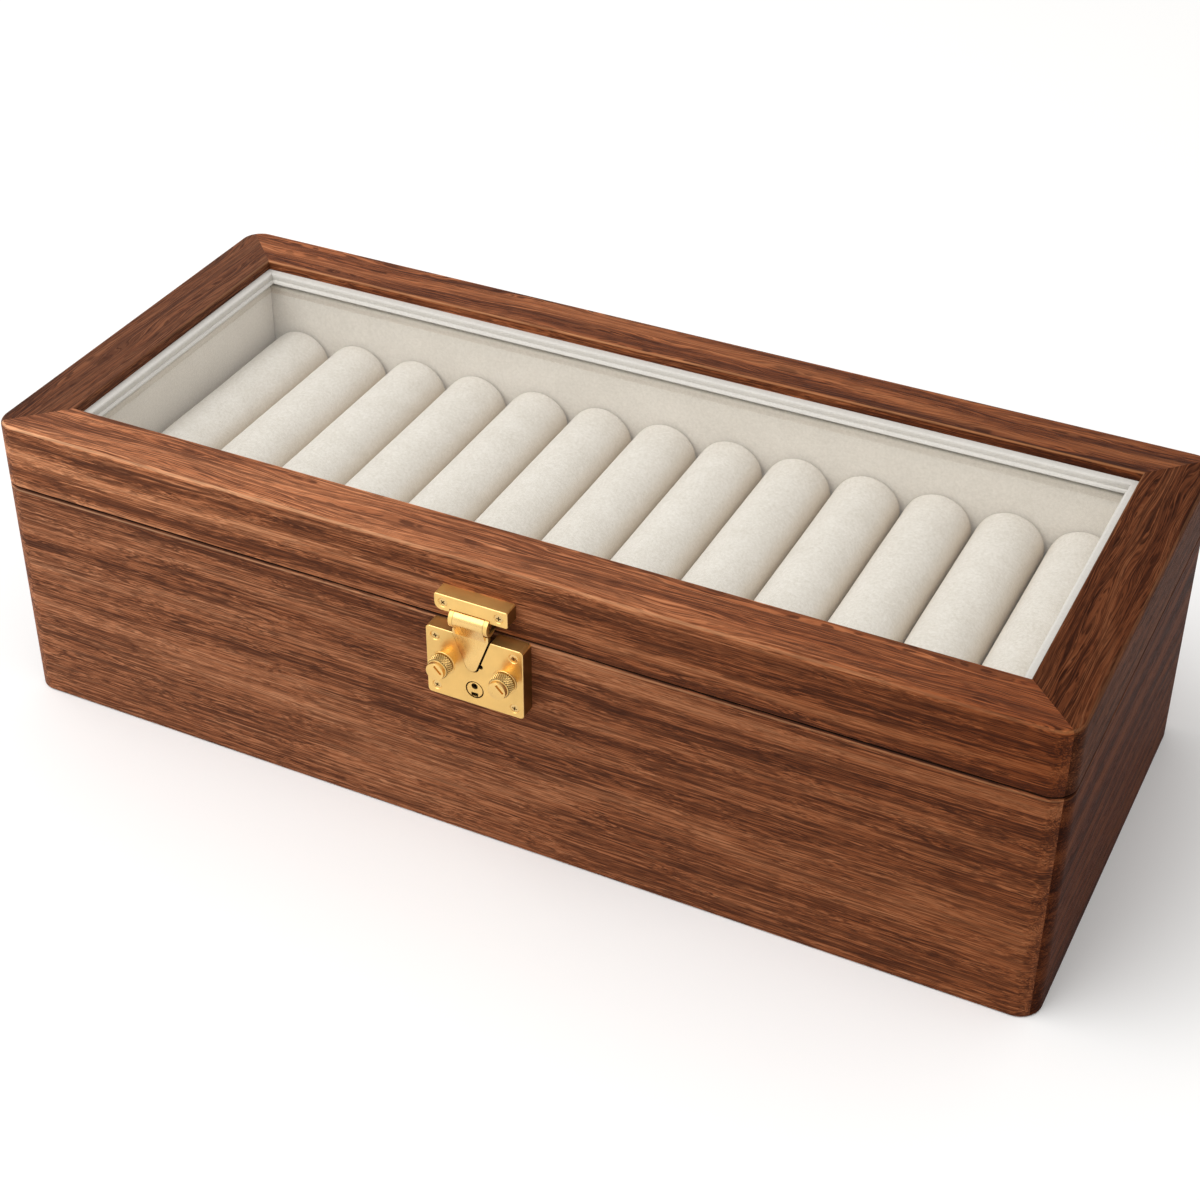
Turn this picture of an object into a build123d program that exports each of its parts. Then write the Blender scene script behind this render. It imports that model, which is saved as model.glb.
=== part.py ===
from build123d import *
import os
from math import acos, atan2, cos, hypot, pi, sin

# A walnut bangle box with a glazed lid, a row of suede rolls and a brass hasp lock.
# X runs along the box, Y from the front to the back, Z up.
# The origin is the middle of the underside, between the outer faces of the walls.

os.makedirs("parts", exist_ok=True)

# Outside of the box
box_length = 430.0
box_depth = 184.0
box_height = 128.0
seam_height = 100.0
seam_gap = 0.4
corner_radius = 9.0
top_edge_radius = 2.0
base_edge_radius = 1.0
bottom_bevel = 0.6

# Walls and lid frame
lid_wall = 19.0
lip_clearance = 1.5
rail_width = 23.0
rail_lip = 4.0
rail_inner_radius = 0.8
base_wall = lid_wall + lip_clearance

# Bottom panel in its rebate, and the felt under it
bottom_thickness = 6.0
felt_thickness = 1.0
rebate_width = 6.0
panel_clearance = 0.2

# Lined strips under the lip of the rails, and the glass that lies against them from below
retainer_height = 3.8
retainer_reach = 3.8
glass_thickness = 3.0
glass_clearance = 0.5
lining_gap = 0.3

# Suede linings
lining_thickness = 3.5
lining_edge_radius = 0.8
floor_thickness = 3.0

# Rolls and the scalloped rests under their ends
roll_count = 13
roll_gap = 0.4
roll_top = 99.0
roll_end_radius = 2.5
rest_thickness = 8.0
rest_seat_depth = 8.5
roll_seat_clearance = 0.3

# Brass lock case on the base
lock_width = 39.4
lock_height = 30.0
lock_thickness = 6.6
lock_drop = 0.2
lock_wall = 1.4
lock_corner = 1.6
brass_edge = 0.4
lock_screw_inset = 3.8
lock_post_radius = 2.9

# Hasp: a tapered tongue that hangs from a barrel on the lid's bar
hasp_offset = -1.3
tongue_thickness = 1.8
tongue_half_width = 7.25
tongue_tip_radius = 2.3
tongue_tip_drop = 12.8
notch_gap = 0.12
notch_slot = 0.75
notch_relief_radius = 1.0
notch_relief_side = 3.8
notch_relief_rise = 0.9
barrel_radius = 3.7
barrel_half_width = 7.8
barrel_setback = 1.6
barrel_below_bar = 2.4
hasp_blend_drop = 6.3
ear_thickness = 1.6
ear_recess_radius = 2.5
ear_recess_depth = 0.4
pin_radius = 1.0
running_clearance = 0.05

# Bar that carries the hasp on the lid
bar_offset = -0.9
bar_width = 29.5
bar_height = 6.8
bar_rise = 7.9
bar_corner = 0.8
bar_large_corner = 3.0
bar_screw_spacing = 22.4
barrel_notch_gap = 0.3

# Turn knobs
knob_offsets = {"left": -10.6, "right": 14.4}
knob_drop = 11.6
knob_cap_radius = 3.6
knob_cap_length = 1.9
knob_slot_length = 4.0
knob_slot_width = 0.8
knob_slot_depth = 0.8
knob_slot_reach = 2.1
knob_slot_angle = 51.0
knurl_radius = 4.4
knurl_length = 4.0
knurl_count = 28
knurl_depth = 0.3
knob_flange_radius = 4.9
knob_flange_length = 0.8
boss_radius = 3.5
boss_length = 3.4
knob_gap = 0.25
spindle_radius = 1.5

# Cams, key lever and the stud that they catch
cam_thickness = 0.9
cam_depth = 2.8
lever_depth = 3.9
stud_radius = 1.0
stud_washer_radius = 2.4
stud_washer_depth = 5.0
stud_washer_thickness = 1.0
cam_tip_radius = 0.9
cam_hub_radius = 2.3
cam_rest_angle = 60.0
tip_clearance = 0.2

# Key cylinder
cylinder_offset = -0.2
cylinder_drop = 23.1
cylinder_radius = 3.2
cylinder_edge = 0.2
cylinder_ring = 1.2
cylinder_groove = 0.5
cylinder_groove_depth = 1.8
key_round_radius = 1.3
key_round_rise = 1.6
key_slot_width = 2.8
key_slot_height = 1.6
key_slot_fall = 2.1
key_depth = 3.0

# Butt hinges in the seam at the back
hinge_positions = {"left": -130.0, "right": 130.0}
hinge_length = 30.0
hinge_leaf_depth = 13.0
hinge_leaf_thickness = 1.2
hinge_leaf_gap = 0.2
hinge_barrel_radius = 2.6
hinge_setback = 0.2
hinge_middle_length = 12.0
hinge_joint_gap = 0.2
hinge_screw_spacing = 20.0
hinge_screw_inset = 5.5
hinge_stop_angle = 100.0
hinge_tail_reach = 5.0
hinge_tail_thickness = 1.2
hinge_tail_drop = 0.3
hinge_stop_clearance = 0.25

# Brass countersunk wood screws
screw_head_radius = 1.95
screw_head_height = 1.0
screw_shank_radius = 1.0
screw_tip_length = 1.5
screw_slot_length = 2.6
screw_slot_width = 0.5
screw_slot_depth = 0.4
screw_clearance = 0.05
lock_screw_length = 15.0
hinge_screw_length = 9.0

# Places worked out from the sizes
half_length = box_length / 2
half_depth = box_depth / 2
lid_bottom = seam_height + seam_gap
lip_bottom = box_height - rail_lip
glass_top = lip_bottom - retainer_height
glass_bottom = glass_top - glass_thickness
lining_top = glass_bottom - lining_gap
panel_top = felt_thickness + bottom_thickness
floor_top = panel_top + floor_thickness
cavity_x = half_length - base_wall
cavity_y = half_depth - base_wall
inside_x = cavity_x - lining_thickness
inside_y = cavity_y - lining_thickness
roll_radius = (2 * inside_x - (roll_count + 1) * roll_gap) / roll_count / 2
roll_pitch = 2 * roll_radius + roll_gap
roll_axis = roll_top - roll_radius
wall_front = -half_depth
lock_face = wall_front - lock_thickness
lock_top = seam_height - lock_drop
lock_bottom = lock_top - lock_height
knob_height = lock_top - knob_drop
cylinder_height = lock_top - cylinder_drop
bar_bottom = lid_bottom + bar_rise
barrel_y = lock_face + barrel_setback
barrel_z = bar_bottom - barrel_below_bar
hinge_axis_y = half_depth + hinge_barrel_radius + hinge_setback
hinge_axis_z = seam_height + seam_gap / 2

nodes = {}


def block(x, y, z):
    """A box between two values along each axis."""
    centre = Pos((x[0] + x[1]) / 2, (y[0] + y[1]) / 2, (z[0] + z[1]) / 2)
    return centre * Box(x[1] - x[0], y[1] - y[0], z[1] - z[0])


def rod_x(radius, x, y, z):
    """A round rod along X."""
    return Pos((x[0] + x[1]) / 2, y, z) * Rot(0, 90, 0) * Cylinder(radius, x[1] - x[0])


def rod_y(radius, x, y, z):
    """A round rod along Y."""
    return Pos(x, (y[0] + y[1]) / 2, z) * Rot(90, 0, 0) * Cylinder(radius, y[1] - y[0])


def front_prism(sketch, y):
    """A sketch of X and Z made solid between two values of Y."""
    return extrude(Plane(origin=(0, y[1], 0), x_dir=(1, 0, 0), z_dir=(0, -1, 0)) * sketch, amount=y[1] - y[0])


def side_prism(sketch, x):
    """A sketch of Y and Z made solid between two values of X."""
    return extrude(Plane(origin=(x[0], 0, 0), x_dir=(0, 1, 0), z_dir=(1, 0, 0)) * sketch, amount=x[1] - x[0])


def mitred(ring, prefix):
    """Cuts a rectangular ring along its mitres into front, back, left and right pieces."""
    out_x = half_length + 1
    out_y = half_depth + 1
    ridge = out_x - out_y
    wedges = {
        "front": [(-out_x, -out_y), (out_x, -out_y), (ridge, 0), (-ridge, 0)],
        "back": [(-out_x, out_y), (-ridge, 0), (ridge, 0), (out_x, out_y)],
        "left": [(-out_x, -out_y), (-ridge, 0), (-out_x, out_y)],
        "right": [(out_x, -out_y), (out_x, out_y), (ridge, 0)],
    }
    pieces = {}
    for side, corners in wedges.items():
        wedge = extrude(make_face(Polyline(*corners, close=True)), amount=2 * box_height)
        pieces[prefix + "_" + side] = ring & Pos(0, 0, -box_height / 2) * wedge
    return pieces


def screw(length, grow=0.0):
    """A countersunk screw with its head at the origin, pointing down. Grown a little, it cuts its own hole."""
    head = screw_head_radius + grow
    shank = screw_shank_radius + grow
    bottom = -length - grow
    tip = bottom + screw_tip_length
    outline = Polyline((0, 0), (head, 0), (shank, -screw_head_height), (shank, tip), (0, bottom), close=True)
    body = revolve(Plane.XZ * make_face(outline), Axis.Z)
    if grow:
        return body
    for width, depth in ((screw_slot_length, screw_slot_width), (screw_slot_width, screw_slot_length)):
        body -= Pos(0, 0, -screw_slot_depth / 2) * Box(width, depth, screw_slot_depth)
    return body


def screw_set(places, turn, length):
    """Screws at several places, and the holes that they need."""
    screws = [Pos(*place) * turn * screw(length) for place in places]
    holes = [Pos(*place) * turn * screw(length, screw_clearance) for place in places]
    return screws, holes


def arm(hub, tip, y):
    """A flat lever between two round ends, each given as x, z and radius."""
    sketch = make_hull((Pos(hub[0], hub[1]) * Circle(hub[2])).edges() + (Pos(tip[0], tip[1]) * Circle(tip[2])).edges())
    return front_prism(sketch, y)


def cut_all(shape, tools):
    for tool in tools:
        shape = shape - tool
    return shape


# Screw places, each with the way that its head faces
facing_front = Rot(90, 0, 0)
facing_up = Rot(0, 0, 0)
facing_down = Rot(180, 0, 0)

lock_screw_x = lock_width / 2 - lock_screw_inset
lock_screw_z = (lock_bottom + lock_screw_inset, lock_top - lock_screw_inset)
lock_screws, lock_screw_holes = screw_set(
    [(side * lock_screw_x, lock_face, height) for side in (-1, 1) for height in lock_screw_z],
    facing_front,
    lock_screw_length,
)
bar_screw_z = bar_bottom + bar_height / 2
bar_screws, bar_screw_holes = screw_set(
    [(bar_offset + side * bar_screw_spacing / 2, lock_face, bar_screw_z) for side in (-1, 1)],
    facing_front,
    lock_screw_length,
)
hinge_screw_y = half_depth - hinge_screw_inset
hinge_screw_x = [
    middle + side * hinge_screw_spacing / 2 for middle in hinge_positions.values() for side in (-1, 1)
]
base_leaf_top = hinge_axis_z - hinge_leaf_gap / 2
lid_leaf_bottom = hinge_axis_z + hinge_leaf_gap / 2
base_hinge_screws, base_hinge_holes = screw_set(
    [(x, hinge_screw_y, base_leaf_top) for x in hinge_screw_x], facing_up, hinge_screw_length
)
lid_hinge_screws, lid_hinge_holes = screw_set(
    [(x, hinge_screw_y, lid_leaf_bottom) for x in hinge_screw_x], facing_down, hinge_screw_length
)


def hinge_mortises(z):
    """Shallow recesses for the hinge leaves, between two heights."""
    depth = hinge_leaf_depth + panel_clearance
    half = hinge_length / 2 + panel_clearance
    return [block((x - half, x + half), (half_depth - depth, half_depth + 1), z) for x in hinge_positions.values()]


# Base walls: one ring with rounded corners, cut along its mitres
def base_walls():
    ring = extrude(RectangleRounded(box_length, box_depth, corner_radius), amount=seam_height)
    ring = fillet(ring.faces().sort_by(Axis.Z)[-1].edges(), base_edge_radius)
    ring = chamfer(ring.faces().sort_by(Axis.Z)[0].edges(), bottom_bevel)
    ring -= block((-cavity_x, cavity_x), (-cavity_y, cavity_y), (-1, seam_height + 1))
    rebate_x = cavity_x + rebate_width
    rebate_y = cavity_y + rebate_width
    ring -= block((-rebate_x, rebate_x), (-rebate_y, rebate_y), (-1, panel_top))
    walls = mitred(ring, "base")
    walls["base_front"] = cut_all(walls["base_front"], lock_screw_holes)
    mortises = hinge_mortises((base_leaf_top - hinge_leaf_thickness, seam_height + 1))
    walls["base_back"] = cut_all(walls["base_back"], mortises + base_hinge_holes)
    return walls


# Lid frame: rails with a lip over the strips, mitred at the corners
def lid_rails():
    height = box_height - lid_bottom
    ring = Pos(0, 0, lid_bottom) * extrude(RectangleRounded(box_length, box_depth, corner_radius), amount=height)
    ring = fillet(ring.faces().sort_by(Axis.Z)[-1].edges(), top_edge_radius)
    ring = chamfer(ring.faces().sort_by(Axis.Z)[0].edges(), bottom_bevel)
    open_x = half_length - rail_width
    open_y = half_depth - rail_width
    ring -= block((-open_x, open_x), (-open_y, open_y), (lid_bottom - 1, box_height + 1))
    wall_x = half_length - lid_wall
    wall_y = half_depth - lid_wall
    ring -= block((-wall_x, wall_x), (-wall_y, wall_y), (lid_bottom - 1, lip_bottom))
    rim = ring.faces().sort_by(Axis.Z)[-1].inner_wires()[0].edges()
    ring = fillet(rim, rail_inner_radius)
    rails = mitred(ring, "lid")
    rails["lid_front"] = cut_all(rails["lid_front"], bar_screw_holes)
    mortises = hinge_mortises((lid_bottom - 1, lid_leaf_bottom + hinge_leaf_thickness))
    rails["lid_back"] = cut_all(rails["lid_back"], mortises + lid_hinge_holes)
    return rails


# Lined strips that reach in past the lip, and the glass that is bedded against them from below
def glazing():
    wall_x = half_length - lid_wall
    wall_y = half_depth - lid_wall
    open_x = half_length - rail_width - retainer_reach
    open_y = half_depth - rail_width - retainer_reach
    ring = block((-wall_x, wall_x), (-wall_y, wall_y), (glass_top, lip_bottom))
    ring -= block((-open_x, open_x), (-open_y, open_y), (glass_top - 1, lip_bottom + 1))
    rim = ring.faces().sort_by(Axis.Z)[-1].inner_wires()[0].edges()
    pieces = mitred(fillet(rim, lining_edge_radius), "retainer")
    pane_x = wall_x - glass_clearance
    pane_y = wall_y - glass_clearance
    pieces["glass_pane"] = block((-pane_x, pane_x), (-pane_y, pane_y), (glass_bottom, glass_top))
    return pieces


# Bottom panel, felt, and the linings that rise past the seam as a lip for the lid
def base_inside():
    panel_x = cavity_x + rebate_width - panel_clearance
    panel_y = cavity_y + rebate_width - panel_clearance
    pieces = {
        "base_bottom": block((-panel_x, panel_x), (-panel_y, panel_y), (felt_thickness, panel_top)),
        "base_felt": block((-panel_x, panel_x), (-panel_y, panel_y), (0, felt_thickness)),
        "lining_floor": block((-cavity_x, cavity_x), (-cavity_y, cavity_y), (panel_top, floor_top)),
    }
    for side, sign in (("front", -1), ("back", 1)):
        y = sorted((sign * inside_y, sign * cavity_y))
        board = block((-cavity_x, cavity_x), y, (floor_top, lining_top))
        pieces["lining_" + side] = fillet(board.faces().sort_by(Axis.Z)[-1].edges().filter_by(Axis.X), lining_edge_radius)
    for side, sign in (("left", -1), ("right", 1)):
        x = sorted((sign * inside_x, sign * cavity_x))
        board = block(x, (-inside_y, inside_y), (floor_top, lining_top))
        pieces["lining_" + side] = fillet(board.faces().sort_by(Axis.Z)[-1].edges().filter_by(Axis.Y), lining_edge_radius)
    return pieces


def roll_places():
    return [(index - (roll_count - 1) / 2) * roll_pitch for index in range(roll_count)]


# Rolls side by side from wall to wall, each lying in a scallop at both ends
def rolls():
    pieces = {}
    reach = inside_y - roll_gap
    for index, x in enumerate(roll_places()):
        roll = rod_y(roll_radius, x, (-reach, reach), roll_axis)
        pieces["roll_%02d" % (index + 1)] = fillet(roll.edges().filter_by(GeomType.CIRCLE), roll_end_radius)
    top = roll_axis - roll_radius + rest_seat_depth
    for side, sign in (("front", -1), ("back", 1)):
        y = sorted((sign * (inside_y - rest_thickness), sign * inside_y))
        rest = block((-inside_x, inside_x), y, (floor_top, top))
        seats = [rod_y(roll_radius + roll_seat_clearance, x, (y[0] - 1, y[1] + 1), roll_axis) for x in roll_places()]
        pieces["roll_rest_" + side] = cut_all(rest, seats)
    return pieces


def tongue_outline(grow=0.0, top=None):
    """The tongue seen from the front: straight at the barrel, tapered below the case's top, round at the tip."""
    half = tongue_half_width + grow
    radius = tongue_tip_radius + grow
    reach = hypot(half, tongue_tip_drop)
    turn = atan2(tongue_tip_drop, half) - acos(radius / reach)
    touch_x = radius * cos(turn)
    touch_z = radius * sin(turn)
    upper = (lock_top if top is None else top) - lock_top + tongue_tip_drop
    side = [(touch_x, touch_z), (half, tongue_tip_drop), (half, upper)]
    outline = make_face(Polyline(*side, *[(-x, z) for x, z in reversed(side)], close=True)) + Circle(radius)
    return Pos(hasp_offset, lock_top - tongue_tip_drop) * outline


# Lock case: a shell open at the back, notched for the tongue, with posts and bosses
def lock_case():
    middle = (lock_bottom + lock_top) / 2
    outline = Pos(0, middle) * RectangleRounded(lock_width, lock_height, lock_corner)
    case = front_prism(outline, (lock_face, wall_front))
    case = fillet(case.faces().sort_by(Axis.Y)[0].edges(), brass_edge)
    inner = Pos(0, middle) * RectangleRounded(lock_width - 2 * lock_wall, lock_height - 2 * lock_wall, lock_corner)
    hollow = front_prism(inner, (lock_face + lock_wall, wall_front + 1))
    for side in (-1, 1):
        for height in lock_screw_z:
            hollow -= rod_y(lock_post_radius, side * lock_screw_x, (lock_face, wall_front + 2), height)
    ring_back = lock_face + cam_depth - tip_clearance
    hollow -= rod_y(cylinder_radius + cylinder_ring, cylinder_offset, (lock_face, ring_back), cylinder_height)
    case -= hollow
    notch = tongue_outline(notch_gap, lock_top + 5)
    relief_height = lock_top - tongue_tip_drop + notch_relief_rise
    relief = Pos(hasp_offset + notch_relief_side, relief_height) * Circle(notch_relief_radius)
    for cut in (notch, Pos(notch_slot, 0) * notch, relief):
        case -= front_prism(cut, (lock_face - 1, wall_front + 1))
    for offset in knob_offsets.values():
        case += rod_y(boss_radius, offset, (lock_face - boss_length, lock_face + lock_wall), knob_height)
        bore = spindle_radius + running_clearance
        case -= rod_y(bore, offset, (lock_face - boss_length - 1, wall_front), knob_height)
    bore = cylinder_radius + running_clearance
    case -= rod_y(bore, cylinder_offset, (lock_face - 1, wall_front), cylinder_height)
    groove = (lock_face - 1, lock_face + cylinder_groove_depth)
    case -= rod_y(cylinder_radius + cylinder_groove, cylinder_offset, groove, cylinder_height)
    return cut_all(case, lock_screw_holes)


# Bar on the lid, with two ears that hold the hasp's pin
def hasp_bar():
    outline = Pos(bar_offset, bar_screw_z) * Rectangle(bar_width, bar_height)
    outline = fillet(outline.vertices().sort_by(Axis.Y)[:2].sort_by(Axis.X)[0], bar_large_corner)
    sharp = outline.vertices().filter_by(lambda v: v.X > bar_offset or v.Y > bar_screw_z)
    bar = front_prism(fillet(sharp, bar_corner), (lock_face, wall_front))
    bar = fillet(bar.faces().sort_by(Axis.Y)[0].edges(), brass_edge)
    notch_top = barrel_z + barrel_radius + barrel_notch_gap
    notch = (hasp_offset - barrel_half_width - barrel_notch_gap, hasp_offset + barrel_half_width + barrel_notch_gap)
    bar -= block(notch, (lock_face - 1, wall_front + 1), (bar_bottom - 1, notch_top))
    web_y = (lock_face + brass_edge, barrel_y + barrel_radius - brass_edge)
    for sign in (-1, 1):
        x = sorted((hasp_offset + sign * (barrel_half_width - ear_thickness), hasp_offset + sign * barrel_half_width))
        bar += rod_x(barrel_radius, x, barrel_y, barrel_z)
        bar += block(x, web_y, (barrel_z, notch_top + 1))
        outer = hasp_offset + sign * barrel_half_width
        recess = sorted((outer, outer - sign * ear_recess_depth))
        bar -= rod_x(ear_recess_radius, recess, barrel_y, barrel_z)
    ends = (hasp_offset - barrel_half_width - 1, hasp_offset + barrel_half_width + 1)
    bar -= rod_x(pin_radius + running_clearance, ends, barrel_y, barrel_z)
    return cut_all(bar, bar_screw_holes)


# Hasp: a barrel between the ears, running down into the flat tongue
def hasp():
    half = barrel_half_width - ear_thickness - running_clearance * 3
    x = (hasp_offset - half, hasp_offset + half)
    shoulder = barrel_z - barrel_radius - barrel_notch_gap
    foot = barrel_z - hasp_blend_drop
    front = (lock_face, foot)
    reach = hypot(front[0] - barrel_y, front[1] - barrel_z)
    turn = atan2(front[1] - barrel_z, front[0] - barrel_y) - acos(barrel_radius / reach)
    touch = (barrel_y + barrel_radius * cos(turn), barrel_z + barrel_radius * sin(turn))
    back = lock_face + tongue_thickness
    blend = make_face(Polyline(touch, front, (back, foot), (back, barrel_z), (barrel_y, barrel_z), close=True))
    body = rod_x(barrel_radius, x, barrel_y, barrel_z) + side_prism(blend, x)
    body += front_prism(tongue_outline(0.0, shoulder), (lock_face, back))
    return body - rod_x(pin_radius + running_clearance, (x[0] - 1, x[1] + 1), barrel_y, barrel_z)


# Stud riveted to the tongue's back, with a washer that the cams and the key lever catch
def hasp_stud():
    washer_y = (lock_face + stud_washer_depth, lock_face + stud_washer_depth + stud_washer_thickness)
    stud = rod_y(stud_radius, hasp_offset, (lock_face + tongue_thickness, washer_y[1]), knob_height)
    washer = rod_y(stud_washer_radius, hasp_offset, washer_y, knob_height)
    return stud, washer - stud


def star(radius, depth, count):
    """A round outline with a row of small teeth, for the knurling."""
    points = []
    for index in range(2 * count):
        angle = pi * index / count
        size = radius - depth * (index % 2)
        points.append((size * cos(angle), size * sin(angle)))
    return make_face(Polyline(*points, close=True))


# Turn knob: slotted cap, knurled sleeve, flange and spindle, in one piece
def knob(offset):
    back = lock_face - boss_length - knob_gap
    flange_start = back - knob_flange_length
    knurl_start = flange_start - knurl_length
    front = knurl_start - knob_cap_length
    cap = rod_y(knob_cap_radius, offset, (front, knurl_start), knob_height)
    cap = fillet(cap.faces().sort_by(Axis.Y)[0].edges(), brass_edge)
    slot = Pos(knob_slot_reach, 0) * Rectangle(knob_slot_width, knob_slot_length)
    slot = Pos(offset, knob_height) * Rot(0, 0, knob_slot_angle) * slot
    cap -= front_prism(slot, (front - 1, front + knob_slot_depth))
    sleeve = Pos(offset, knob_height) * star(knurl_radius, knurl_depth, knurl_count)
    body = cap + front_prism(sleeve, (knurl_start, flange_start))
    body += rod_y(knob_flange_radius, offset, (flange_start, back), knob_height)
    spindle_end = lock_face + cam_depth + cam_thickness
    return body + rod_y(spindle_radius, offset, (back, spindle_end), knob_height)


# Cam on the inner end of a spindle; turned level, its tip stands beside the stud
def cam(offset):
    toward = 1 if hasp_offset > offset else -1
    length = abs(hasp_offset - offset) - stud_radius - tip_clearance - cam_tip_radius
    angle = cam_rest_angle * pi / 180
    tip = (offset + toward * length * cos(angle), knob_height - length * sin(angle), cam_tip_radius)
    y = (lock_face + cam_depth, lock_face + cam_depth + cam_thickness)
    lever = arm((offset, knob_height, cam_hub_radius), tip, y)
    return lever - rod_y(spindle_radius + running_clearance / 2, offset, (y[0] - 1, y[1] + 1), knob_height)


# Key cylinder with a round and a square keyway, and a stub for its lever
def cylinder_plug():
    stub_end = lock_face + lever_depth + cam_thickness
    shoulder = lock_face + lever_depth - tip_clearance
    plug = rod_y(cylinder_radius, cylinder_offset, (lock_face, shoulder), cylinder_height)
    plug = fillet(plug.faces().sort_by(Axis.Y)[0].edges(), cylinder_edge)
    plug += rod_y(spindle_radius, cylinder_offset, (shoulder, stub_end), cylinder_height)
    keyway = (lock_face - 1, lock_face + key_depth)
    plug -= rod_y(key_round_radius, cylinder_offset, keyway, cylinder_height + key_round_rise)
    slot_x = (cylinder_offset - key_slot_width / 2, cylinder_offset + key_slot_width / 2)
    slot_top = cylinder_height - key_slot_fall + key_slot_height / 2
    return plug - block(slot_x, keyway, (slot_top - key_slot_height, slot_top))


def key_lever():
    y = (lock_face + lever_depth, lock_face + lever_depth + cam_thickness)
    length = knob_height - cylinder_height - stud_radius - tip_clearance - cam_tip_radius
    tip = (cylinder_offset + length, cylinder_height, cam_tip_radius)
    lever = arm((cylinder_offset, cylinder_height, cam_hub_radius), tip, y)
    bore = spindle_radius + running_clearance / 2
    return lever - rod_y(bore, cylinder_offset, (y[0] - 1, y[1] + 1), cylinder_height)


# Butt hinge: two base knuckles with a stop tail, one lid knuckle with a stop fin
def hinge(middle):
    half = hinge_length / 2
    inner = hinge_middle_length / 2
    front = half_depth - hinge_leaf_depth
    clear = hinge_barrel_radius + hinge_joint_gap
    whole = (middle - half, middle + half)
    bore = rod_x(pin_radius + running_clearance, (whole[0] - 1, whole[1] + 1), hinge_axis_y, hinge_axis_z)
    far = (hinge_axis_y - clear, hinge_axis_y + 2 * hinge_tail_reach)
    tall = (hinge_axis_z - 9, hinge_axis_z + 9)
    gap = (middle - inner - hinge_joint_gap, middle + inner + hinge_joint_gap)

    tail_top = hinge_axis_z - hinge_tail_drop
    tail_back = hinge_axis_y + hinge_tail_reach
    base = block(whole, (front, hinge_axis_y), (base_leaf_top - hinge_leaf_thickness, base_leaf_top))
    base += rod_x(hinge_barrel_radius, whole, hinge_axis_y, hinge_axis_z)
    base -= block(gap, far, tall)
    base += block(whole, (hinge_axis_y + clear, tail_back), (tail_top - hinge_tail_thickness, tail_top))
    for x in ((whole[0], gap[0]), (gap[1], whole[1])):
        base += block(x, (hinge_axis_y, tail_back), (tail_top - hinge_tail_thickness, tail_top))

    lid = block(whole, (front, hinge_axis_y - clear), (lid_leaf_bottom, lid_leaf_bottom + hinge_leaf_thickness))
    knuckle = (middle - inner, middle + inner)
    lid += block(knuckle, (front, hinge_axis_y), (lid_leaf_bottom, lid_leaf_bottom + hinge_leaf_thickness))
    lid += rod_x(hinge_barrel_radius, knuckle, hinge_axis_y, hinge_axis_z)
    fin_bottom = hinge_stop_clearance - hinge_tail_drop
    fin = block(knuckle, (0, hinge_tail_reach), (fin_bottom, fin_bottom + hinge_tail_thickness))
    lid += Pos(0, hinge_axis_y, hinge_axis_z) * Rot(hinge_stop_angle, 0, 0) * fin

    pin = rod_x(pin_radius, whole, hinge_axis_y, hinge_axis_z)
    return cut_all(base, [bore] + base_hinge_holes), cut_all(lid, [bore] + lid_hinge_holes), pin


nodes.update(base_walls())
nodes.update(base_inside())
nodes.update(rolls())
nodes["lock_case"] = lock_case()
nodes["lock_case_screws"] = Compound(children=lock_screws)
nodes["base_hinge_screws"] = Compound(children=base_hinge_screws)
nodes.update(lid_rails())
nodes.update(glazing())
nodes["hasp_bar"] = hasp_bar()
nodes["hasp_bar_screws"] = Compound(children=bar_screws)
pin_ends = barrel_half_width - ear_recess_depth
nodes["hasp_pin"] = rod_x(pin_radius, (hasp_offset - pin_ends, hasp_offset + pin_ends), barrel_y, barrel_z)
nodes["lid_hinge_screws"] = Compound(children=lid_hinge_screws)
nodes["hasp"] = hasp()
nodes["hasp_stud"], nodes["hasp_washer"] = hasp_stud()
nodes["cylinder_plug"] = cylinder_plug()
nodes["key_lever"] = key_lever()
for side, offset in knob_offsets.items():
    nodes["knob_" + side] = knob(offset)
    nodes["cam_" + side] = cam(offset)
for side, middle in hinge_positions.items():
    base_leaf, lid_leaf, hinge_pin = hinge(middle)
    nodes["hinge_base_leaf_" + side] = base_leaf
    nodes["hinge_lid_leaf_" + side] = lid_leaf
    nodes["hinge_pin_" + side] = hinge_pin

for name, shape in nodes.items():
    shape.label = name
    export_step(shape, "parts/" + name + ".step")
print(len(nodes), "nodes written")
print("roll diameter", round(2 * roll_radius, 2), "pitch", round(roll_pitch, 2))
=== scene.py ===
# %% [markdown]
# # A walnut bangle box
# This lesson dresses a finished CAD model of a jewellery box. The box is walnut, with a glazed lid, a row of
# padded suede rolls that bangles go on, and a brass lock. The CAD model already has every board, hinge and screw
# at its real size, so Blender's work is the part that the eye enjoys: wood, suede, glass and brass.
# Read the cells in order. Each one makes one thing, and many print what they made.

# %% Load the imported model
import math

import bmesh
import bpy
from mathutils import Matrix, Vector, noise


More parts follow.
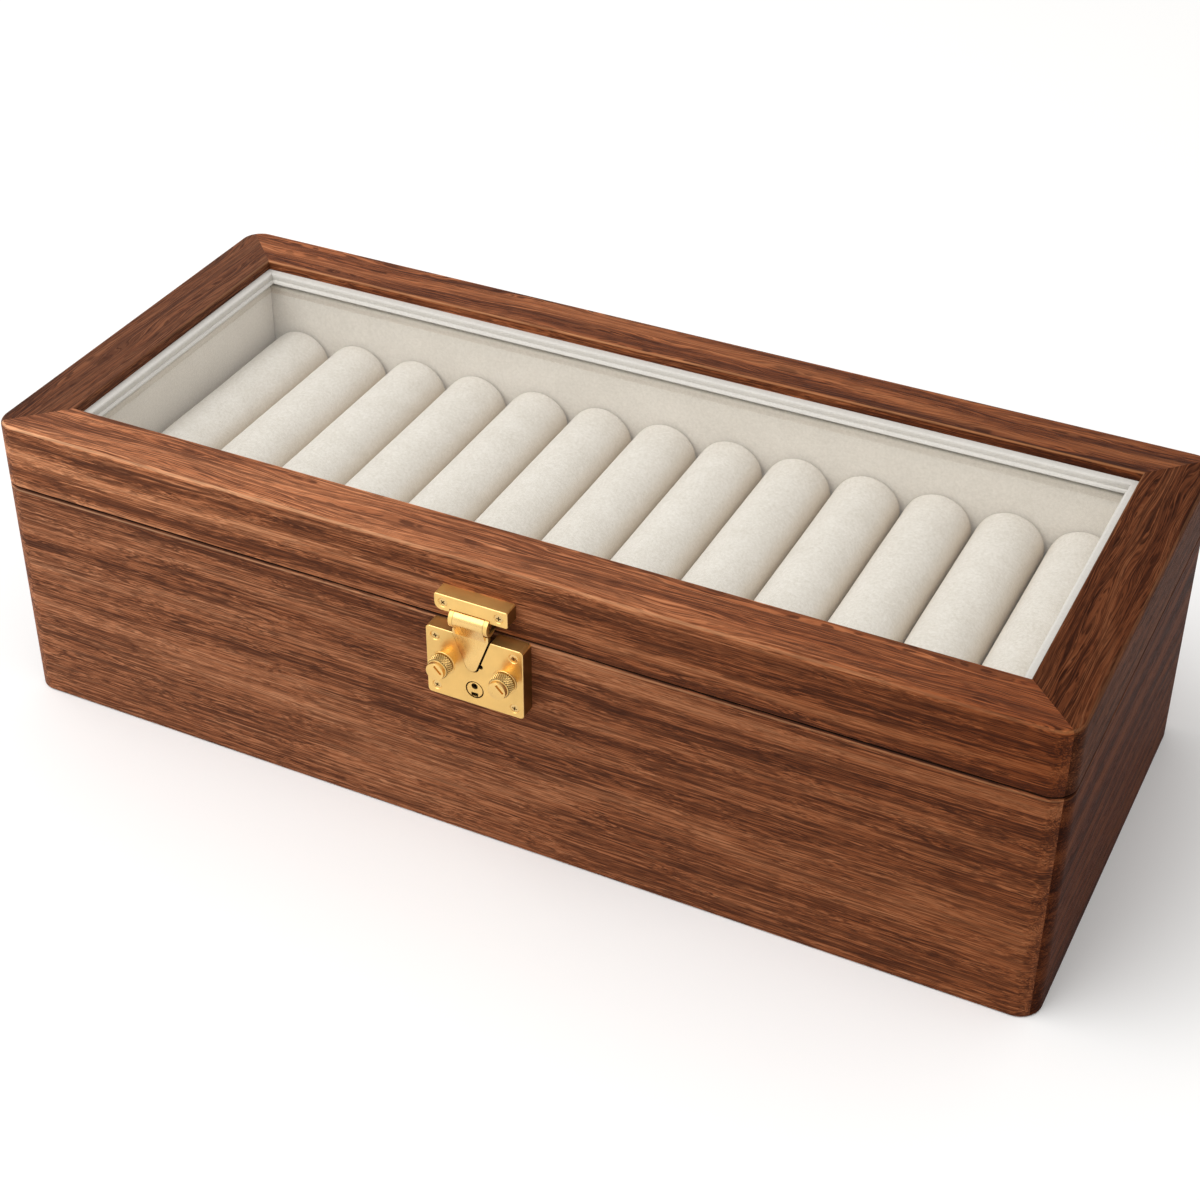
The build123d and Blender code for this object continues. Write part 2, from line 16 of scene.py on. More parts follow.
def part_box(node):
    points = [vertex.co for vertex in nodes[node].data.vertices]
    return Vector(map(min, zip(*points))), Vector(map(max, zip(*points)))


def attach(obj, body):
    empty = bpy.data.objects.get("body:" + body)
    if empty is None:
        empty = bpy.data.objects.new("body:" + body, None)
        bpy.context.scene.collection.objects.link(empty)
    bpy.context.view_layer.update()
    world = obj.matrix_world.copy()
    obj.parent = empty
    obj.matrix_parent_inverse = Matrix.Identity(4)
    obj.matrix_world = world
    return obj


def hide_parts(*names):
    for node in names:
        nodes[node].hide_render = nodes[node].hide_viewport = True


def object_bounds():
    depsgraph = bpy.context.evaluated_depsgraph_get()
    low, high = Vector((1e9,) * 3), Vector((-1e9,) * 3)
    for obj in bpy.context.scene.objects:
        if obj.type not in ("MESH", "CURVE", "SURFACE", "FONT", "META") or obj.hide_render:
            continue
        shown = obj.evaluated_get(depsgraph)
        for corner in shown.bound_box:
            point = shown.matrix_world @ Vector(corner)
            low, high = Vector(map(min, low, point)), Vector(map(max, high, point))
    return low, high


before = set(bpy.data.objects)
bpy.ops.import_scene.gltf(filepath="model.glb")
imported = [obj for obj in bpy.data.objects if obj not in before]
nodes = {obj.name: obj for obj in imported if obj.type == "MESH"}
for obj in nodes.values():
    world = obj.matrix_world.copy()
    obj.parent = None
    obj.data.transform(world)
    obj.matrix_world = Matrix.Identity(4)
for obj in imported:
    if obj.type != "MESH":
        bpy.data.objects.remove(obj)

MM = 0.001
cad_low, cad_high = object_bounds()
print(len(nodes), "CAD nodes; the box is", [round(s, 4) for s in cad_high - cad_low], "metres")

# %% [markdown]
# ## The camera
# A product photograph is taken with a long lens, so that the sides of a box stay nearly parallel. The angles
# below are those of the photograph: the camera stands to the right of the front and looks down. Blender could aim
# it with a Track To constraint, but building the rotation from three axes says exactly where it looks.

# %% Place the camera
PICTURE_SIZE = 1200
FOCAL_PIXELS = 2252.5
CENTRE_PIXEL = (560.0, 560.0)
AZIMUTH = math.radians(27.1)
ELEVATION = math.radians(34.9)
ROLL = math.radians(-0.4)
SIDEWAYS, UPWARD, DISTANCE = 14.0 * MM, -6.8 * MM, 892.6 * MM
SENSOR = 36.0


def new_object(name, data):
    """A new object in the scene, made of this data."""
    thing = bpy.data.objects.new(name, data)
    bpy.context.scene.collection.objects.link(thing)
    return thing


def camera_axes():
    """The camera's right, up and backward directions."""
    level = math.cos(ELEVATION)
    back = Vector((math.sin(AZIMUTH) * level, -math.cos(AZIMUTH) * level, math.sin(ELEVATION)))
    right = Vector((0, 0, 1)).cross(back).normalized()
    up = back.cross(right)
    turned_right = math.cos(ROLL) * right + math.sin(ROLL) * up
    turned_up = math.cos(ROLL) * up - math.sin(ROLL) * right
    return turned_right, turned_up, back


camera_data = bpy.data.cameras.new("camera")
camera = new_object("camera", camera_data)
camera_data.sensor_width = SENSOR
camera_data.lens = FOCAL_PIXELS * SENSOR / PICTURE_SIZE
camera_data.shift_x = (PICTURE_SIZE / 2 - CENTRE_PIXEL[0]) / PICTURE_SIZE
camera_data.shift_y = (CENTRE_PIXEL[1] - PICTURE_SIZE / 2) / PICTURE_SIZE
camera_data.clip_start = 0.01
camera_data.clip_end = 50
right, up, back = camera_axes()
eye = Vector((0, 0, cad_high.z / 2)) - SIDEWAYS * right - UPWARD * up + DISTANCE * back
turn = Matrix((right, up, back)).transposed().to_4x4()
camera.matrix_world = Matrix.Translation(eye) @ turn
bpy.context.scene.camera = camera
print("lens", round(camera_data.lens, 1), "mm, at", [round(c, 3) for c in eye])

# %% [markdown]
# ## Nodes from Python
# A procedural material is a chain of nodes. Wiring them one by one in Python is long-winded, so these helpers add
# a node, fill in its sockets and return it. A socket's value may be a number, a colour or another node's output.
# An Amount stands for a number that nodes work out. Python lets a class say what plus and times mean, so a sum of
# two amounts adds a Math node, and a formula below reads like a formula. Geometry Nodes use the same helpers later.

# %% Amounts and node trees


def arithmetic(operation, swapped=False):
    """A method of Amount that adds one Math node."""

    def method(self, other):
        values = (other, self) if swapped else (self, other)
        return self.maker.maths(operation, *values)

    return method


class Amount:
    """A number that nodes work out. Arithmetic with amounts adds the Math nodes that it needs."""

    __add__, __mul__, __mod__ = arithmetic("ADD"), arithmetic("MULTIPLY"), arithmetic("FLOORED_MODULO")
    __sub__, __rsub__ = arithmetic("SUBTRACT"), arithmetic("SUBTRACT", swapped=True)
    __truediv__, __rtruediv__ = arithmetic("DIVIDE"), arithmetic("DIVIDE", swapped=True)

    def __init__(self, maker, socket):
        self.maker = maker
        self.socket = socket

    def __abs__(self):
        return self.maker.maths("ABSOLUTE", self)


class Nodes:
    """A node tree under construction. Its kinds of node are named without their usual prefix."""

    prefix = "ShaderNode"

    def __init__(self, tree):
        self.tree = tree

    def join(self, value, socket):
        """Links an output to a socket, or sets the socket to a plain value. A list links all of its outputs."""
        for item in value if isinstance(value, list) else [value]:
            if isinstance(item, Amount):
                item = item.socket
            if isinstance(item, bpy.types.NodeSocket):
                self.tree.links.new(item, socket)
            else:
                socket.default_value = item

    def add(self, kind, inputs=None, **settings):
        """Adds a node, sets its settings and fills in its sockets."""
        node = self.tree.nodes.new(kind if "Node" in kind else self.prefix + kind)
        for setting, value in settings.items():
            setattr(node, setting, value)
        for socket, value in (inputs or {}).items():
            self.join(value, node.inputs[socket])
        return node

    def maths(self, operation, *values):
        node = self.add("ShaderNodeMath", dict(enumerate(values)), operation=operation)
        return Amount(self, node.outputs[0])

    def largest(self, first, *others):
        for other in others:
            first = self.maths("MAXIMUM", first, other)
        return first

    def smallest(self, first, *others):
        for other in others:
            first = self.maths("MINIMUM", first, other)
        return first

    def hypotenuse(self, first, second):
        """How far it is to a point that lies this far along one axis and that far along another."""
        return self.maths("SQRT", first * first + second * second)

    def parts(self, vector):
        """The x, y and z of a vector."""
        return [Amount(self, part) for part in self.add("ShaderNodeSeparateXYZ", {0: vector}).outputs]

    def vector(self, x=0.0, y=0.0, z=0.0):
        return self.add("ShaderNodeCombineXYZ", {0: x, 1: y, 2: z}).outputs[0]


# %% Shader helpers


class Paint(Nodes):
    """The shader nodes of a material or of the world."""

    def place(self):
        """Where each point lies in its piece."""
        return self.add("TexCoord").outputs["Object"]

    def stretched(self, vector, scale):
        """Coordinates scaled by a different amount along each axis."""
        return self.add("VectorMath", {0: vector, 1: scale}, operation="MULTIPLY").outputs[0]

    def cloudy(self, vector, scale, detail=2.0, roughness=0.5, distortion=0.0):
        """Soft noise from 0 to 1. Three scales stretch it along the axes."""
        if isinstance(scale, tuple):
            vector, scale = self.stretched(vector, scale), 1.0
        inputs = {"Vector": vector, "Scale": scale, "Detail": detail}
        inputs.update({"Roughness": roughness, "Distortion": distortion})
        return Amount(self, self.add("TexNoise", inputs).outputs[0])

    def remap(self, value, low, high, new_low=0.0, new_high=1.0):
        """Moves one range of values onto another, and stops at its ends."""
        inputs = {0: value, 1: low, 2: high, 3: new_low, 4: new_high}
        return Amount(self, self.add("MapRange", inputs).outputs[0])

    def fade(self, value, start, end, full=1.0):
        """The full amount up to the start, which falls to nothing at the end."""
        return self.remap(value, start, end, full, 0.0)

    def mix(self, factor, first, second, blend="MIX"):
        """One colour laid over another, each an output or three plain numbers."""
        first, second = ((*colour, 1) if isinstance(colour, tuple) else colour for colour in (first, second))
        inputs = {0: factor, 6: first, 7: second}
        return self.add("Mix", inputs, data_type="RGBA", blend_type=blend).outputs[2]

    def ramp(self, factor, stops):
        """A colour ramp through (position, colour) stops."""
        node = self.add("ValToRGB", {"Fac": factor})
        elements = node.color_ramp.elements
        while len(elements) < len(stops):
            elements.new(0.5)
        for element, (position, colour) in zip(elements, stops):
            element.position = position
            element.color = (*colour, 1)
        return node.outputs[0]


class Material(Paint):
    """A new material."""

    def __init__(self, name):
        self.data = bpy.data.materials.new(name)
        self.data.use_nodes = True
        super().__init__(self.data.node_tree)
        self.tree.nodes.clear()
        self.output = self.add("OutputMaterial")

    def show(self, surface):
        """Makes a shader the material's surface."""
        self.join(surface, self.output.inputs["Surface"])

    def finish(self, colour, roughness, height=None, relief=0.0, **plain):
        """Adds the Principled shader, with its colour, roughness and bump, and sets its plain sockets."""
        self.shader = self.add("BsdfPrincipled", {"Base Color": colour, "Roughness": roughness})
        self.show(self.shader.outputs[0])
        if height is not None:
            bump = self.add("Bump", {"Height": height, "Distance": relief, "Strength": 1.0})
            self.join(bump.outputs[0], self.shader.inputs["Normal"])
        for socket, value in plain.items():
            self.shader.inputs[socket.replace("_", " ")].default_value = value

    def repaint(self, factor, colour):
        """Lays another colour over the one that the shader already has."""
        socket = self.shader.inputs["Base Color"]
        self.join(self.mix(factor, socket.links[0].from_socket, colour), socket)


print("helpers ready")

# %% [markdown]
# ## Walnut
# A plank is a slice through a log, so its figure is a picture of the growth rings. The material below does what
# the saw does: it measures how far each point lies from the heart of a log that runs along the board, bends that
# distance with soft noise, and turns it into dark and light bands. On top come streaks, fine fibres, dark
# hairlines and the short pores that walnut is known for. A hairline is a level curve: where a long, thin noise
# passes its middle value, a line is drawn, as a map draws a contour. Painting all this as a flat picture would
# show seams where two faces of a board meet, and this can't, because the pattern fills the board.
# Each board has its own tints at its left and right ends, which are painted sheen and shade: they are lighter at
# the left, darker on the boards whose grain runs front to back, and darker still on the right-hand faces. The eased
# edges get a pale painted highlight and the crack of the seam painted shade, which both come from each point's
# distance to the box's outline.

# %% The walnut material
DARK_WALNUT = (0.120, 0.038, 0.016)
BROWN_WALNUT = (0.255, 0.088, 0.038)
WARM_WALNUT = (0.360, 0.138, 0.063)
PALE_WALNUT = (0.480, 0.215, 0.110)
WALNUT_STOPS = [(0.10, DARK_WALNUT), (0.36, BROWN_WALNUT), (0.62, WARM_WALNUT), (0.95, PALE_WALNUT)]
PORE_BROWN = (0.055, 0.018, 0.009)
# Colour of the painted highlight along the eased edges.
WOOD_EDGE_HIGHLIGHT = (0.560, 0.300, 0.165)
# Colour of the painted shade in the crack of the seam.
CRACK_SHADE = (0.012, 0.006, 0.004)
BANDS_PER_METRE = 110.0
CORNER_RADIUS = 9.0 * MM
RAIL_WIDTH = 23.0 * MM
SEAM_HEIGHT = 100.0 * MM
LID_EASING = 1.2 * MM
BASE_EASING = 0.9 * MM
MID_CRACK = 0.2 * MM


def edge_highlight_and_seam_shade(m):
    """How strong the painted highlight on the eased edges and the painted shade in the seam are, measured from the
    box's own outline.
    """
    x, y, z = m.parts(m.place())
    half_x, half_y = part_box("base_right")[1].x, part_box("base_back")[1].y
    past_x = m.largest(abs(x) - (half_x - CORNER_RADIUS), 0.0)
    past_y = m.largest(abs(y) - (half_y - CORNER_RADIUS), 0.0)
    from_side = CORNER_RADIUS - m.hypotenuse(past_x, past_y)
    from_top = cad_high.z - z
    from_opening = m.largest(abs(x) - (half_x - RAIL_WIDTH), abs(y) - (half_y - RAIL_WIDTH))
    # Painted highlights along the outer top edge, along the inner edge, strongest at the back, and along the base's
    # edge below the seam.
    outer = m.fade(abs(from_side + from_top - LID_EASING), 0.03 * MM, 0.16 * MM, 0.60)
    inner = m.fade(from_opening + from_top, 0.50 * MM, 0.78 * MM) * m.remap(y, 0.0, 0.05, 0.3, 1.0)
    below_seam = abs(z - (SEAM_HEIGHT - BASE_EASING))
    seam = m.fade(from_side + below_seam, 0.25 * MM, 0.55 * MM, 0.6)
    # Painted shade in the crack of the seam, near the outer rim.
    in_crack = m.fade(abs(z - (SEAM_HEIGHT + MID_CRACK)), 0.25 * MM, 0.60 * MM)
    near_rim = m.fade(from_side, 0.8 * MM, 2.2 * MM)
    return m.largest(outer, inner, seam), in_crack * near_rim


def walnut(name, along, heart, slope, offset, left_sheen_and_shade, right_sheen_and_shade, gloss):
    """Walnut with its grain along X or Y. heart is where the middle of the log lies beside the board."""
    m = Material(name)
    quarter = math.pi / 2 if along == "Y" else 0.0
    board = m.add("Mapping", {"Vector": m.place(), "Rotation": (0, 0, quarter), "Location": offset}).outputs[0]
    length, across, height = m.parts(board)
    from_heart = m.hypotenuse(across - heart[0], length * slope + (height - heart[1]))
    bend = m.cloudy(board, (4.5, 16.0, 16.0))
    wave = m.cloudy(board, (12.0, 110.0, 110.0))
    ring = from_heart + bend * 0.030 + wave * 0.0022
    figure = {"W": ring * BANDS_PER_METRE, "Scale": 1.0, "Detail": 2.0, "Roughness": 0.5}
    bands = Amount(m, m.add("TexNoise", figure, noise_dimensions="1D").outputs[0])

    # The fibres follow the wave, so fine lines lean where the figure does.
    fibre_place = m.add("VectorMath", {0: board, 1: m.vector(y=wave * 0.012)}, operation="ADD").outputs[0]
    streaks = m.cloudy(fibre_place, (3.2, 460.0, 460.0), 5.0, 0.70)
    fibres = m.cloudy(fibre_place, (12.0, 2000.0, 2000.0), 3.0, 0.7)
    tone = streaks * 0.42 + bands * 0.42 + fibres + m.remap(bands, 0.36, 0.56) * 0.08
    colour = m.ramp(m.remap(tone, 0.775, 1.215), WALNUT_STOPS)

    # Dark bands are crowded with hairlines and pores, and pale ones have few.
    crowd = m.remap(bands, 0.70, 0.42, 0.45, 1.0)
    hairline = pore = 0.0
    for spread in ((4.0, 360.0, 360.0), (7.0, 820.0, 820.0)):
        off_level = abs(m.cloudy(fibre_place, spread, 1.0) - 0.5)
        hairline = m.largest(hairline, m.fade(off_level, 0.012, 0.055))
    strength = m.remap(m.cloudy(board, (16.0, 200.0, 200.0)), 0.35, 0.65, 0.60, 0.95)
    colour = m.mix(hairline * strength * crowd, colour, PORE_BROWN)
    for density in ((70.0, 1700.0, 1700.0), (120.0, 2700.0, 2700.0)):
        cells = {"Vector": m.stretched(fibre_place, density), "Scale": 1.0, "Randomness": 1.0}
        nearest = m.add("TexVoronoi", cells).outputs["Distance"]
        pore = m.largest(pore, m.fade(nearest, 0.24, 0.34))
    pore = pore * crowd
    colour = m.mix(pore * 0.88, colour, PORE_BROWN)

    # Painted sheen and shade: each board's colour is multiplied by tints that run from its left end to its right.
    side_to_side = m.remap(m.parts(m.place())[0], -cad_high.x, cad_high.x)
    sheen_and_shade = m.mix(side_to_side, left_sheen_and_shade, right_sheen_and_shade)
    wood_edge_highlight, crack = edge_highlight_and_seam_shade(m)
    # Painted highlight along the eased edges, broken up by the streaks.
    streaked_edge_highlight = wood_edge_highlight * m.remap(streaks, 0.35, 0.6, 0.35, 0.85)
    colour = m.mix(1.0, colour, sheen_and_shade, "MULTIPLY")
    colour = m.mix(streaked_edge_highlight, colour, m.mix(1.0, WOOD_EDGE_HIGHLIGHT, sheen_and_shade, "MULTIPLY"))
    # Painted shade in the crack of the seam.
    colour = m.mix(crack * 0.92, colour, CRACK_SHADE)
    rough = m.remap(pore * 0.5 + fibres, 0.3, 1.2, 0.50, 0.68) - wood_edge_highlight * 0.12
    m.finish(colour, rough, fibres - pore * 0.8, 0.07 * MM, Specular_IOR_Level=gloss)
    return m


# %% Saw the boards
# Each board's grain, the heart of its log beside it, the log's slope, where in the log it was cut, and its tints of
# painted sheen and shade at its left and right ends.
BOARDS = {
    "base_front": ("X", (0.055, 0.030), 0.045, (0.31, 0.02, 0.0), (1.40, 1.42, 1.44), (0.84, 0.69, 0.54)),
    "base_back": ("X", (0.070, 0.090), -0.030, (1.70, 0.25, 0.4), (1.02, 0.90, 0.82), (0.70, 0.58, 0.47)),
    "base_left": ("Y", (0.060, 0.060), 0.040, (2.30, 0.31, 0.8), (0.72, 0.65, 0.60), (0.72, 0.65, 0.60)),
    "base_right": ("Y", (0.060, 0.075), -0.035, (3.10, 0.27, 1.2), (0.345, 0.232, 0.152), (0.345, 0.232, 0.152)),
    "lid_front": ("X", (0.040, -0.020), 0.020, (4.70, 0.09, 1.7), (1.78, 1.82, 1.80), (0.66, 0.46, 0.29)),
    "lid_back": ("X", (0.045, 0.010), -0.015, (5.60, 0.12, 2.1), (1.06, 0.91, 0.76), (0.59, 0.45, 0.31)),
    "lid_left": ("Y", (0.050, 0.000), 0.020, (6.20, 0.08, 2.6), (0.48, 0.425, 0.39), (0.48, 0.425, 0.39)),
    "lid_right": ("Y", (0.045, 0.030), -0.020, (7.90, 0.06, 3.3), (0.385, 0.315, 0.26), (0.385, 0.315, 0.26)),
}


def centre(node):
    """The middle of a CAD node's box."""
    low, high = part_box(node)
    return (low + high) / 2


def give_material(node, material):
    """Puts one material on every slot of a CAD node."""
    data = nodes[node].data
    if not data.materials:
        data.materials.append(material.data)
    for slot in nodes[node].material_slots:
        slot.material = material.data


for node, (along, heart, slope, offset, left_sheen_and_shade, right_sheen_and_shade) in BOARDS.items():
    sideways = centre(node).y if along == "X" else centre(node).x
    log = (sideways + heart[0] + offset[1], heart[1] + offset[2])
    gloss = 0.02 if node.endswith("right") else 0.07
    give_material(node, walnut("walnut_" + node, along, log, slope, offset, left_sheen_and_shade, right_sheen_and_shade, gloss))
print(len(BOARDS), "walnut boards, each sawn from its own place in the log")

# %% [markdown]
# ## Plywood, brass and glass
# The panel under the linings is plywood, which only shows from below. The brass is satin: a metal shader whose
# roughness varies with fine brushing, because evenly rough metal looks like plastic. It carries painted shade in the
# slots, the holes and the keyways behind the face, painted shade on the ends of the case and the bar, and a painted
# highlight along their front edges. Each of these is a distance to the sides of a box.
# The glass is a thin flat pane. A real refracting shader would need caustics to light the inside, so the pane
# mixes a clear shader with a mirror by Fresnel: it lets all light through and shines only where one looks along
# it. Light that is already in the pane sees the back of its faces, where Fresnel would give a full mirror, so
# there the mirror is left out.

# %% Plywood, brass and glass materials
# Colour of the painted shade in the slots, holes, keyways and knurling grooves of the brass.
HOLLOW_SHADE = (0.030, 0.016, 0.006)
# Colours of the painted shade on the ends of the case and the bar, and of the painted highlight along their front
# edges.
END_SHADE = (0.130, 0.050, 0.008)
BRASS_EDGE_HIGHLIGHT = (1.0, 0.78, 0.42)
GOLDEN = (0.87, 0.56, 0.19)
SCREW_GOLD = (0.82, 0.55, 0.22)
FACE_DEPTH = 0.30 * MM
FAR = 1.0
DULLED = 0.84
HOLLOW_SHADE_FADE = 0.9 * MM


def plywood():
    m = Material("plywood")
    grain = m.cloudy(m.place(), (6.0, 90.0, 20.0), 4.0, 0.6)
    fleck = m.cloudy(m.place(), (60.0, 900.0, 200.0))
    colour = m.ramp(fleck * 0.3 + grain, [(0.35, (0.36, 0.22, 0.11)), (0.75, (0.55, 0.38, 0.21))])
    m.finish(colour, m.remap(fleck, 0.2, 0.8, 0.6, 0.8), fleck, 0.05 * MM)
    return m


def inside_box(m, low, high):
    """How far inside a box each point lies. On its faces this is nothing, and outside it is less."""
    gaps = []
    for part, start, end in zip(m.parts(m.place()), low, high):
        gaps += [part - start, end - part]
    return m.smallest(*gaps)


def edge_highlight_and_end_shade(m, node, shade):
    """A painted highlight along the edges of a node's front face, and painted shade on its ends."""
    low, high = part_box(node)
    outline = inside_box(m, (low.x, -FAR, low.z), (high.x, FAR, high.z))
    from_end = inside_box(m, (low.x, -FAR, -FAR), (high.x, FAR, FAR))
    behind = m.parts(m.place())[1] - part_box("lock_case_screws")[0].y
    # Painted shade on the ends, and a painted highlight along the front face's edges.
    end_shade = m.fade(from_end, 0.02 * MM, 0.08 * MM, 0.85) * m.remap(behind, 0.2 * MM, 0.8 * MM)
    brass_edge_highlight = m.fade(outline + behind, 0.10 * MM, 0.30 * MM, 0.9)
    return m.mix(brass_edge_highlight, m.mix(end_shade, shade, END_SHADE), BRASS_EDGE_HIGHLIGHT)


def brass(name, colour, roughness, brushed=(3000.0, 3000.0, 360.0), shaded_inside=None, painted_light_on=None):
    """Satin brass between two roughnesses. brushed says how fine the brushing is along each axis, shaded_inside is a
    box, from corner to corner, in which the brass gets painted shade, and painted_light_on is a node whose front
    edges get a painted highlight and whose ends get painted shade."""
    m = Material(name)
    lines = m.cloudy(m.place(), brushed, 3.0, 0.6)
    patches = m.cloudy(m.place(), 90.0, 3.0)
    darker = tuple(DULLED * channel for channel in colour)
    shade = m.mix(m.remap(patches, 0.3, 0.7), darker, colour)
    if shaded_inside:
        # Painted shade inside the box, behind the brass's front face.
        shade = m.mix(m.remap(inside_box(m, *shaded_inside), 0.0, HOLLOW_SHADE_FADE, 0.0, 0.93), shade, HOLLOW_SHADE)
    # Painted shade on the ends and a painted highlight along the front edges.
    if painted_light_on:
        shade = edge_highlight_and_end_shade(m, painted_light_on, shade)
    rough = m.remap(patches * 0.35 + lines * 0.65, 0.3, 0.7, *roughness)
    m.finish(shade, rough, lines, 0.012 * MM, Metallic=0.94)
    return m


def behind_face(node, margin):
    """The inside of a brass case, a little behind its front face and clear of its outer edges."""
    low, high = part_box(node)
    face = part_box("lock_case_screws")[0].y
    return (low.x + margin, face + FACE_DEPTH, low.z + margin), (high.x - margin, high.y, high.z - margin)


def pane_glass():
    m = Material("pane_glass")
    clear = m.add("BsdfTransparent", {"Color": (0.985, 0.992, 0.988, 1)}).outputs[0]
    mirror = m.add("BsdfGlossy", {"Color": (1, 1, 1, 1), "Roughness": 0.02}).outputs[0]
    edge = Amount(m, m.add("Fresnel", {"IOR": 1.38}).outputs[0])
    from_inside = Amount(m, m.add("NewGeometry").outputs["Backfacing"])
    m.show(m.add("MixShader", {0: edge * (1.0 - from_inside), 1: clear, 2: mirror}).outputs[0])
    return m


# %% Dress the metal, the panel and the pane
satin_brass = brass("satin_brass", GOLDEN, (0.32, 0.48))
drawn_brass = brass("drawn_brass", (0.80, 0.54, 0.22), (0.22, 0.32), (360.0, 3000.0, 3000.0))
screw_brass = brass("screw_brass", SCREW_GOLD, (0.24, 0.38))
# Boxes that get painted shade behind the front faces: of the screws, the case, the bar and the plug's keyways.
around_screws = behind_face("lock_case_screws", -30.0 * MM)
front_screw_brass = brass("front_screw_brass", SCREW_GOLD, (0.24, 0.38), shaded_inside=around_screws)
in_case, in_bar, in_plug = (
    behind_face(node, margin * MM) for node, margin in (("lock_case", 1.2), ("hasp_bar", 1.0), ("cylinder_plug", -1.0))
)
METALS = {
    "hasp": brass("hasp_brass", (0.90, 0.59, 0.22), (0.22, 0.34)),
    "lock_case": brass("case_brass", GOLDEN, (0.32, 0.48), shaded_inside=in_case, painted_light_on="lock_case"),
    "hasp_bar": brass("bar_brass", (0.93, 0.61, 0.21), (0.36, 0.52), shaded_inside=in_bar, painted_light_on="hasp_bar"),
    "cylinder_plug": brass("plug_brass", GOLDEN, (0.32, 0.48), shaded_inside=in_plug),
}
for node in nodes:
    if node in ("hasp_stud", "hasp_washer", "cam_left", "cam_right", "key_lever") or "_leaf_" in node:
        METALS[node] = satin_brass
    elif "_pin" in node:
        METALS[node] = drawn_brass
for node, metal in METALS.items():
    give_material(node, metal)
give_material("base_bottom", plywood())
give_material("glass_pane", pane_glass())
print("brass on", len(METALS), "nodes")

# %% [markdown]
# ## Suede and felt
# Suede has a nap: short fibres that lie one way here and another there, so it shows soft pale and dark patches
# under a fine speckle, and a little sheen at the edges. Two scales of noise give the patches and the speckle. The
# same function makes the linings and the rolls, which differ only in colour, and the rolls get painted shade low
# on their sides, where each one meets the next. The felt underneath is the same idea with coarser, longer
# fibres.

# %% Suede and felt materials


def suede(name, light, shade, patch_scale=55.0):
    m = Material(name)
    patches = m.cloudy(m.place(), patch_scale, 4.0, 0.6, 0.4)
    speckle = m.cloudy(m.place(), 900.0, 4.0, 0.7)
    fuzz = m.cloudy(m.place(), 4200.0, 2.0, 0.6)
    colour = m.ramp(speckle * 0.74 + patches * 0.26, [(0.36, shade), (0.64, light)])
    rough = m.remap(patches, 0.3, 0.7, 0.82, 0.95)
    sheen = {"Sheen_Weight": 0.12, "Sheen_Roughness": 0.45, "Specular_IOR_Level": 0.2}
    m.finish(colour, rough, fuzz * 0.6 + speckle, 0.10 * MM, **sheen)
    return m


def felt(name, light, shade):
    m = Material(name)
    fibres = m.cloudy(m.place(), 900.0, 5.0, 0.75, 1.5)
    lumps = m.cloudy(m.place(), 160.0, 3.0, 0.6)
    tone = fibres * 0.6 + lumps * 0.4
    m.finish(m.ramp(tone, [(0.3, shade), (0.7, light)]), 0.95, tone, 0.25 * MM, Sheen_Weight=0.2)
    return m


def roll_suede_shaded_low(name, light, shade, low_side_shade):
    """Suede of the rolls, with painted shade low on their sides."""
    m = suede(name, light, shade, 90.0)
    axis = centre("roll_01").z
    height = m.parts(m.place())[2]
    # Painted shade low on the roll's sides, where it meets its neighbours.
    m.repaint(m.fade(height, axis + 1.0 * MM, axis + 10.0 * MM, 0.75), low_side_shade)
    return m


lining_suede = suede("lining_suede", (0.850, 0.795, 0.730), (0.735, 0.682, 0.615))
roll_suede = roll_suede_shaded_low("roll_suede", (0.815, 0.760, 0.705), (0.665, 0.605, 0.535), (0.640, 0.525, 0.385))
strip_suede = suede("strip_suede", (0.660, 0.640, 0.600), (0.600, 0.578, 0.538), 90.0)
dark_felt = felt("dark_felt", (0.040, 0.034, 0.030), (0.018, 0.015, 0.013))
print("suede and felt ready")

# %% [markdown]
# ## From modifiers to a plain mesh
# A piece is easiest to shape with live modifiers, but it ends as a plain mesh with no modifier and
# its object at the origin. Asking the evaluated object for its mesh does both, and keeps what is seen.

# %% Finishing helpers


def mesh_from(name, shape):
    """A mesh from a bmesh, with its normals facing out."""
    bmesh.ops.recalc_face_normals(shape, faces=shape.faces)
    mesh = bpy.data.meshes.new(name)
    shape.to_mesh(mesh)
    shape.free()
    return mesh


def object_from(name, shape):
    return new_object(name, mesh_from(name, shape))


def bridge(shape, rings):
    """Fills in the faces between each ring of points and the next. A ring of one point closes the end."""
    for first, second in zip(rings, rings[1:]):
        count = max(len(first), len(second))
        for index in range(count):
            after = (index + 1) % count
            corners = [first[index % len(first)], first[after % len(first)]]
            corners += [second[after % len(second)], second[index % len(second)]]
            shape.faces.new(list(dict.fromkeys(corners)))


def turned_solid(name, outline, sides, evenness=None):
    """A solid turned about the Y axis from (radius, y) points that start and end on the axis. evenness, if given,
    works out a factor for the radius at each (angle, y)."""
    shape = bmesh.new()
    rings = []
    for radius, y in outline:
        if radius == 0.0:
            rings.append([shape.verts.new((0, y, 0))])
            continue
        ring = []
        for side in range(sides):
            angle = 2 * math.pi * side / sides
            reach = radius * evenness(angle, y) if evenness else radius
            ring.append(shape.verts.new((reach * math.cos(angle), y, reach * math.sin(angle))))
        rings.append(ring)
    bridge(shape, rings)
    return object_from(name, shape)


def baked(piece):
    """Applies every modifier of a piece."""
    depsgraph = bpy.context.evaluated_depsgraph_get()
    mesh = bpy.data.meshes.new_from_object(piece.evaluated_get(depsgraph))
    piece.modifiers.clear()
    piece.data = mesh
    return piece


def smooth(piece, angle=None):
    """Smooth shading, with sharp edges where faces meet by more than the angle in degrees."""
    piece.data.shade_smooth()
    if angle is not None:
        piece.data.set_sharp_from_angle(angle=math.radians(angle))


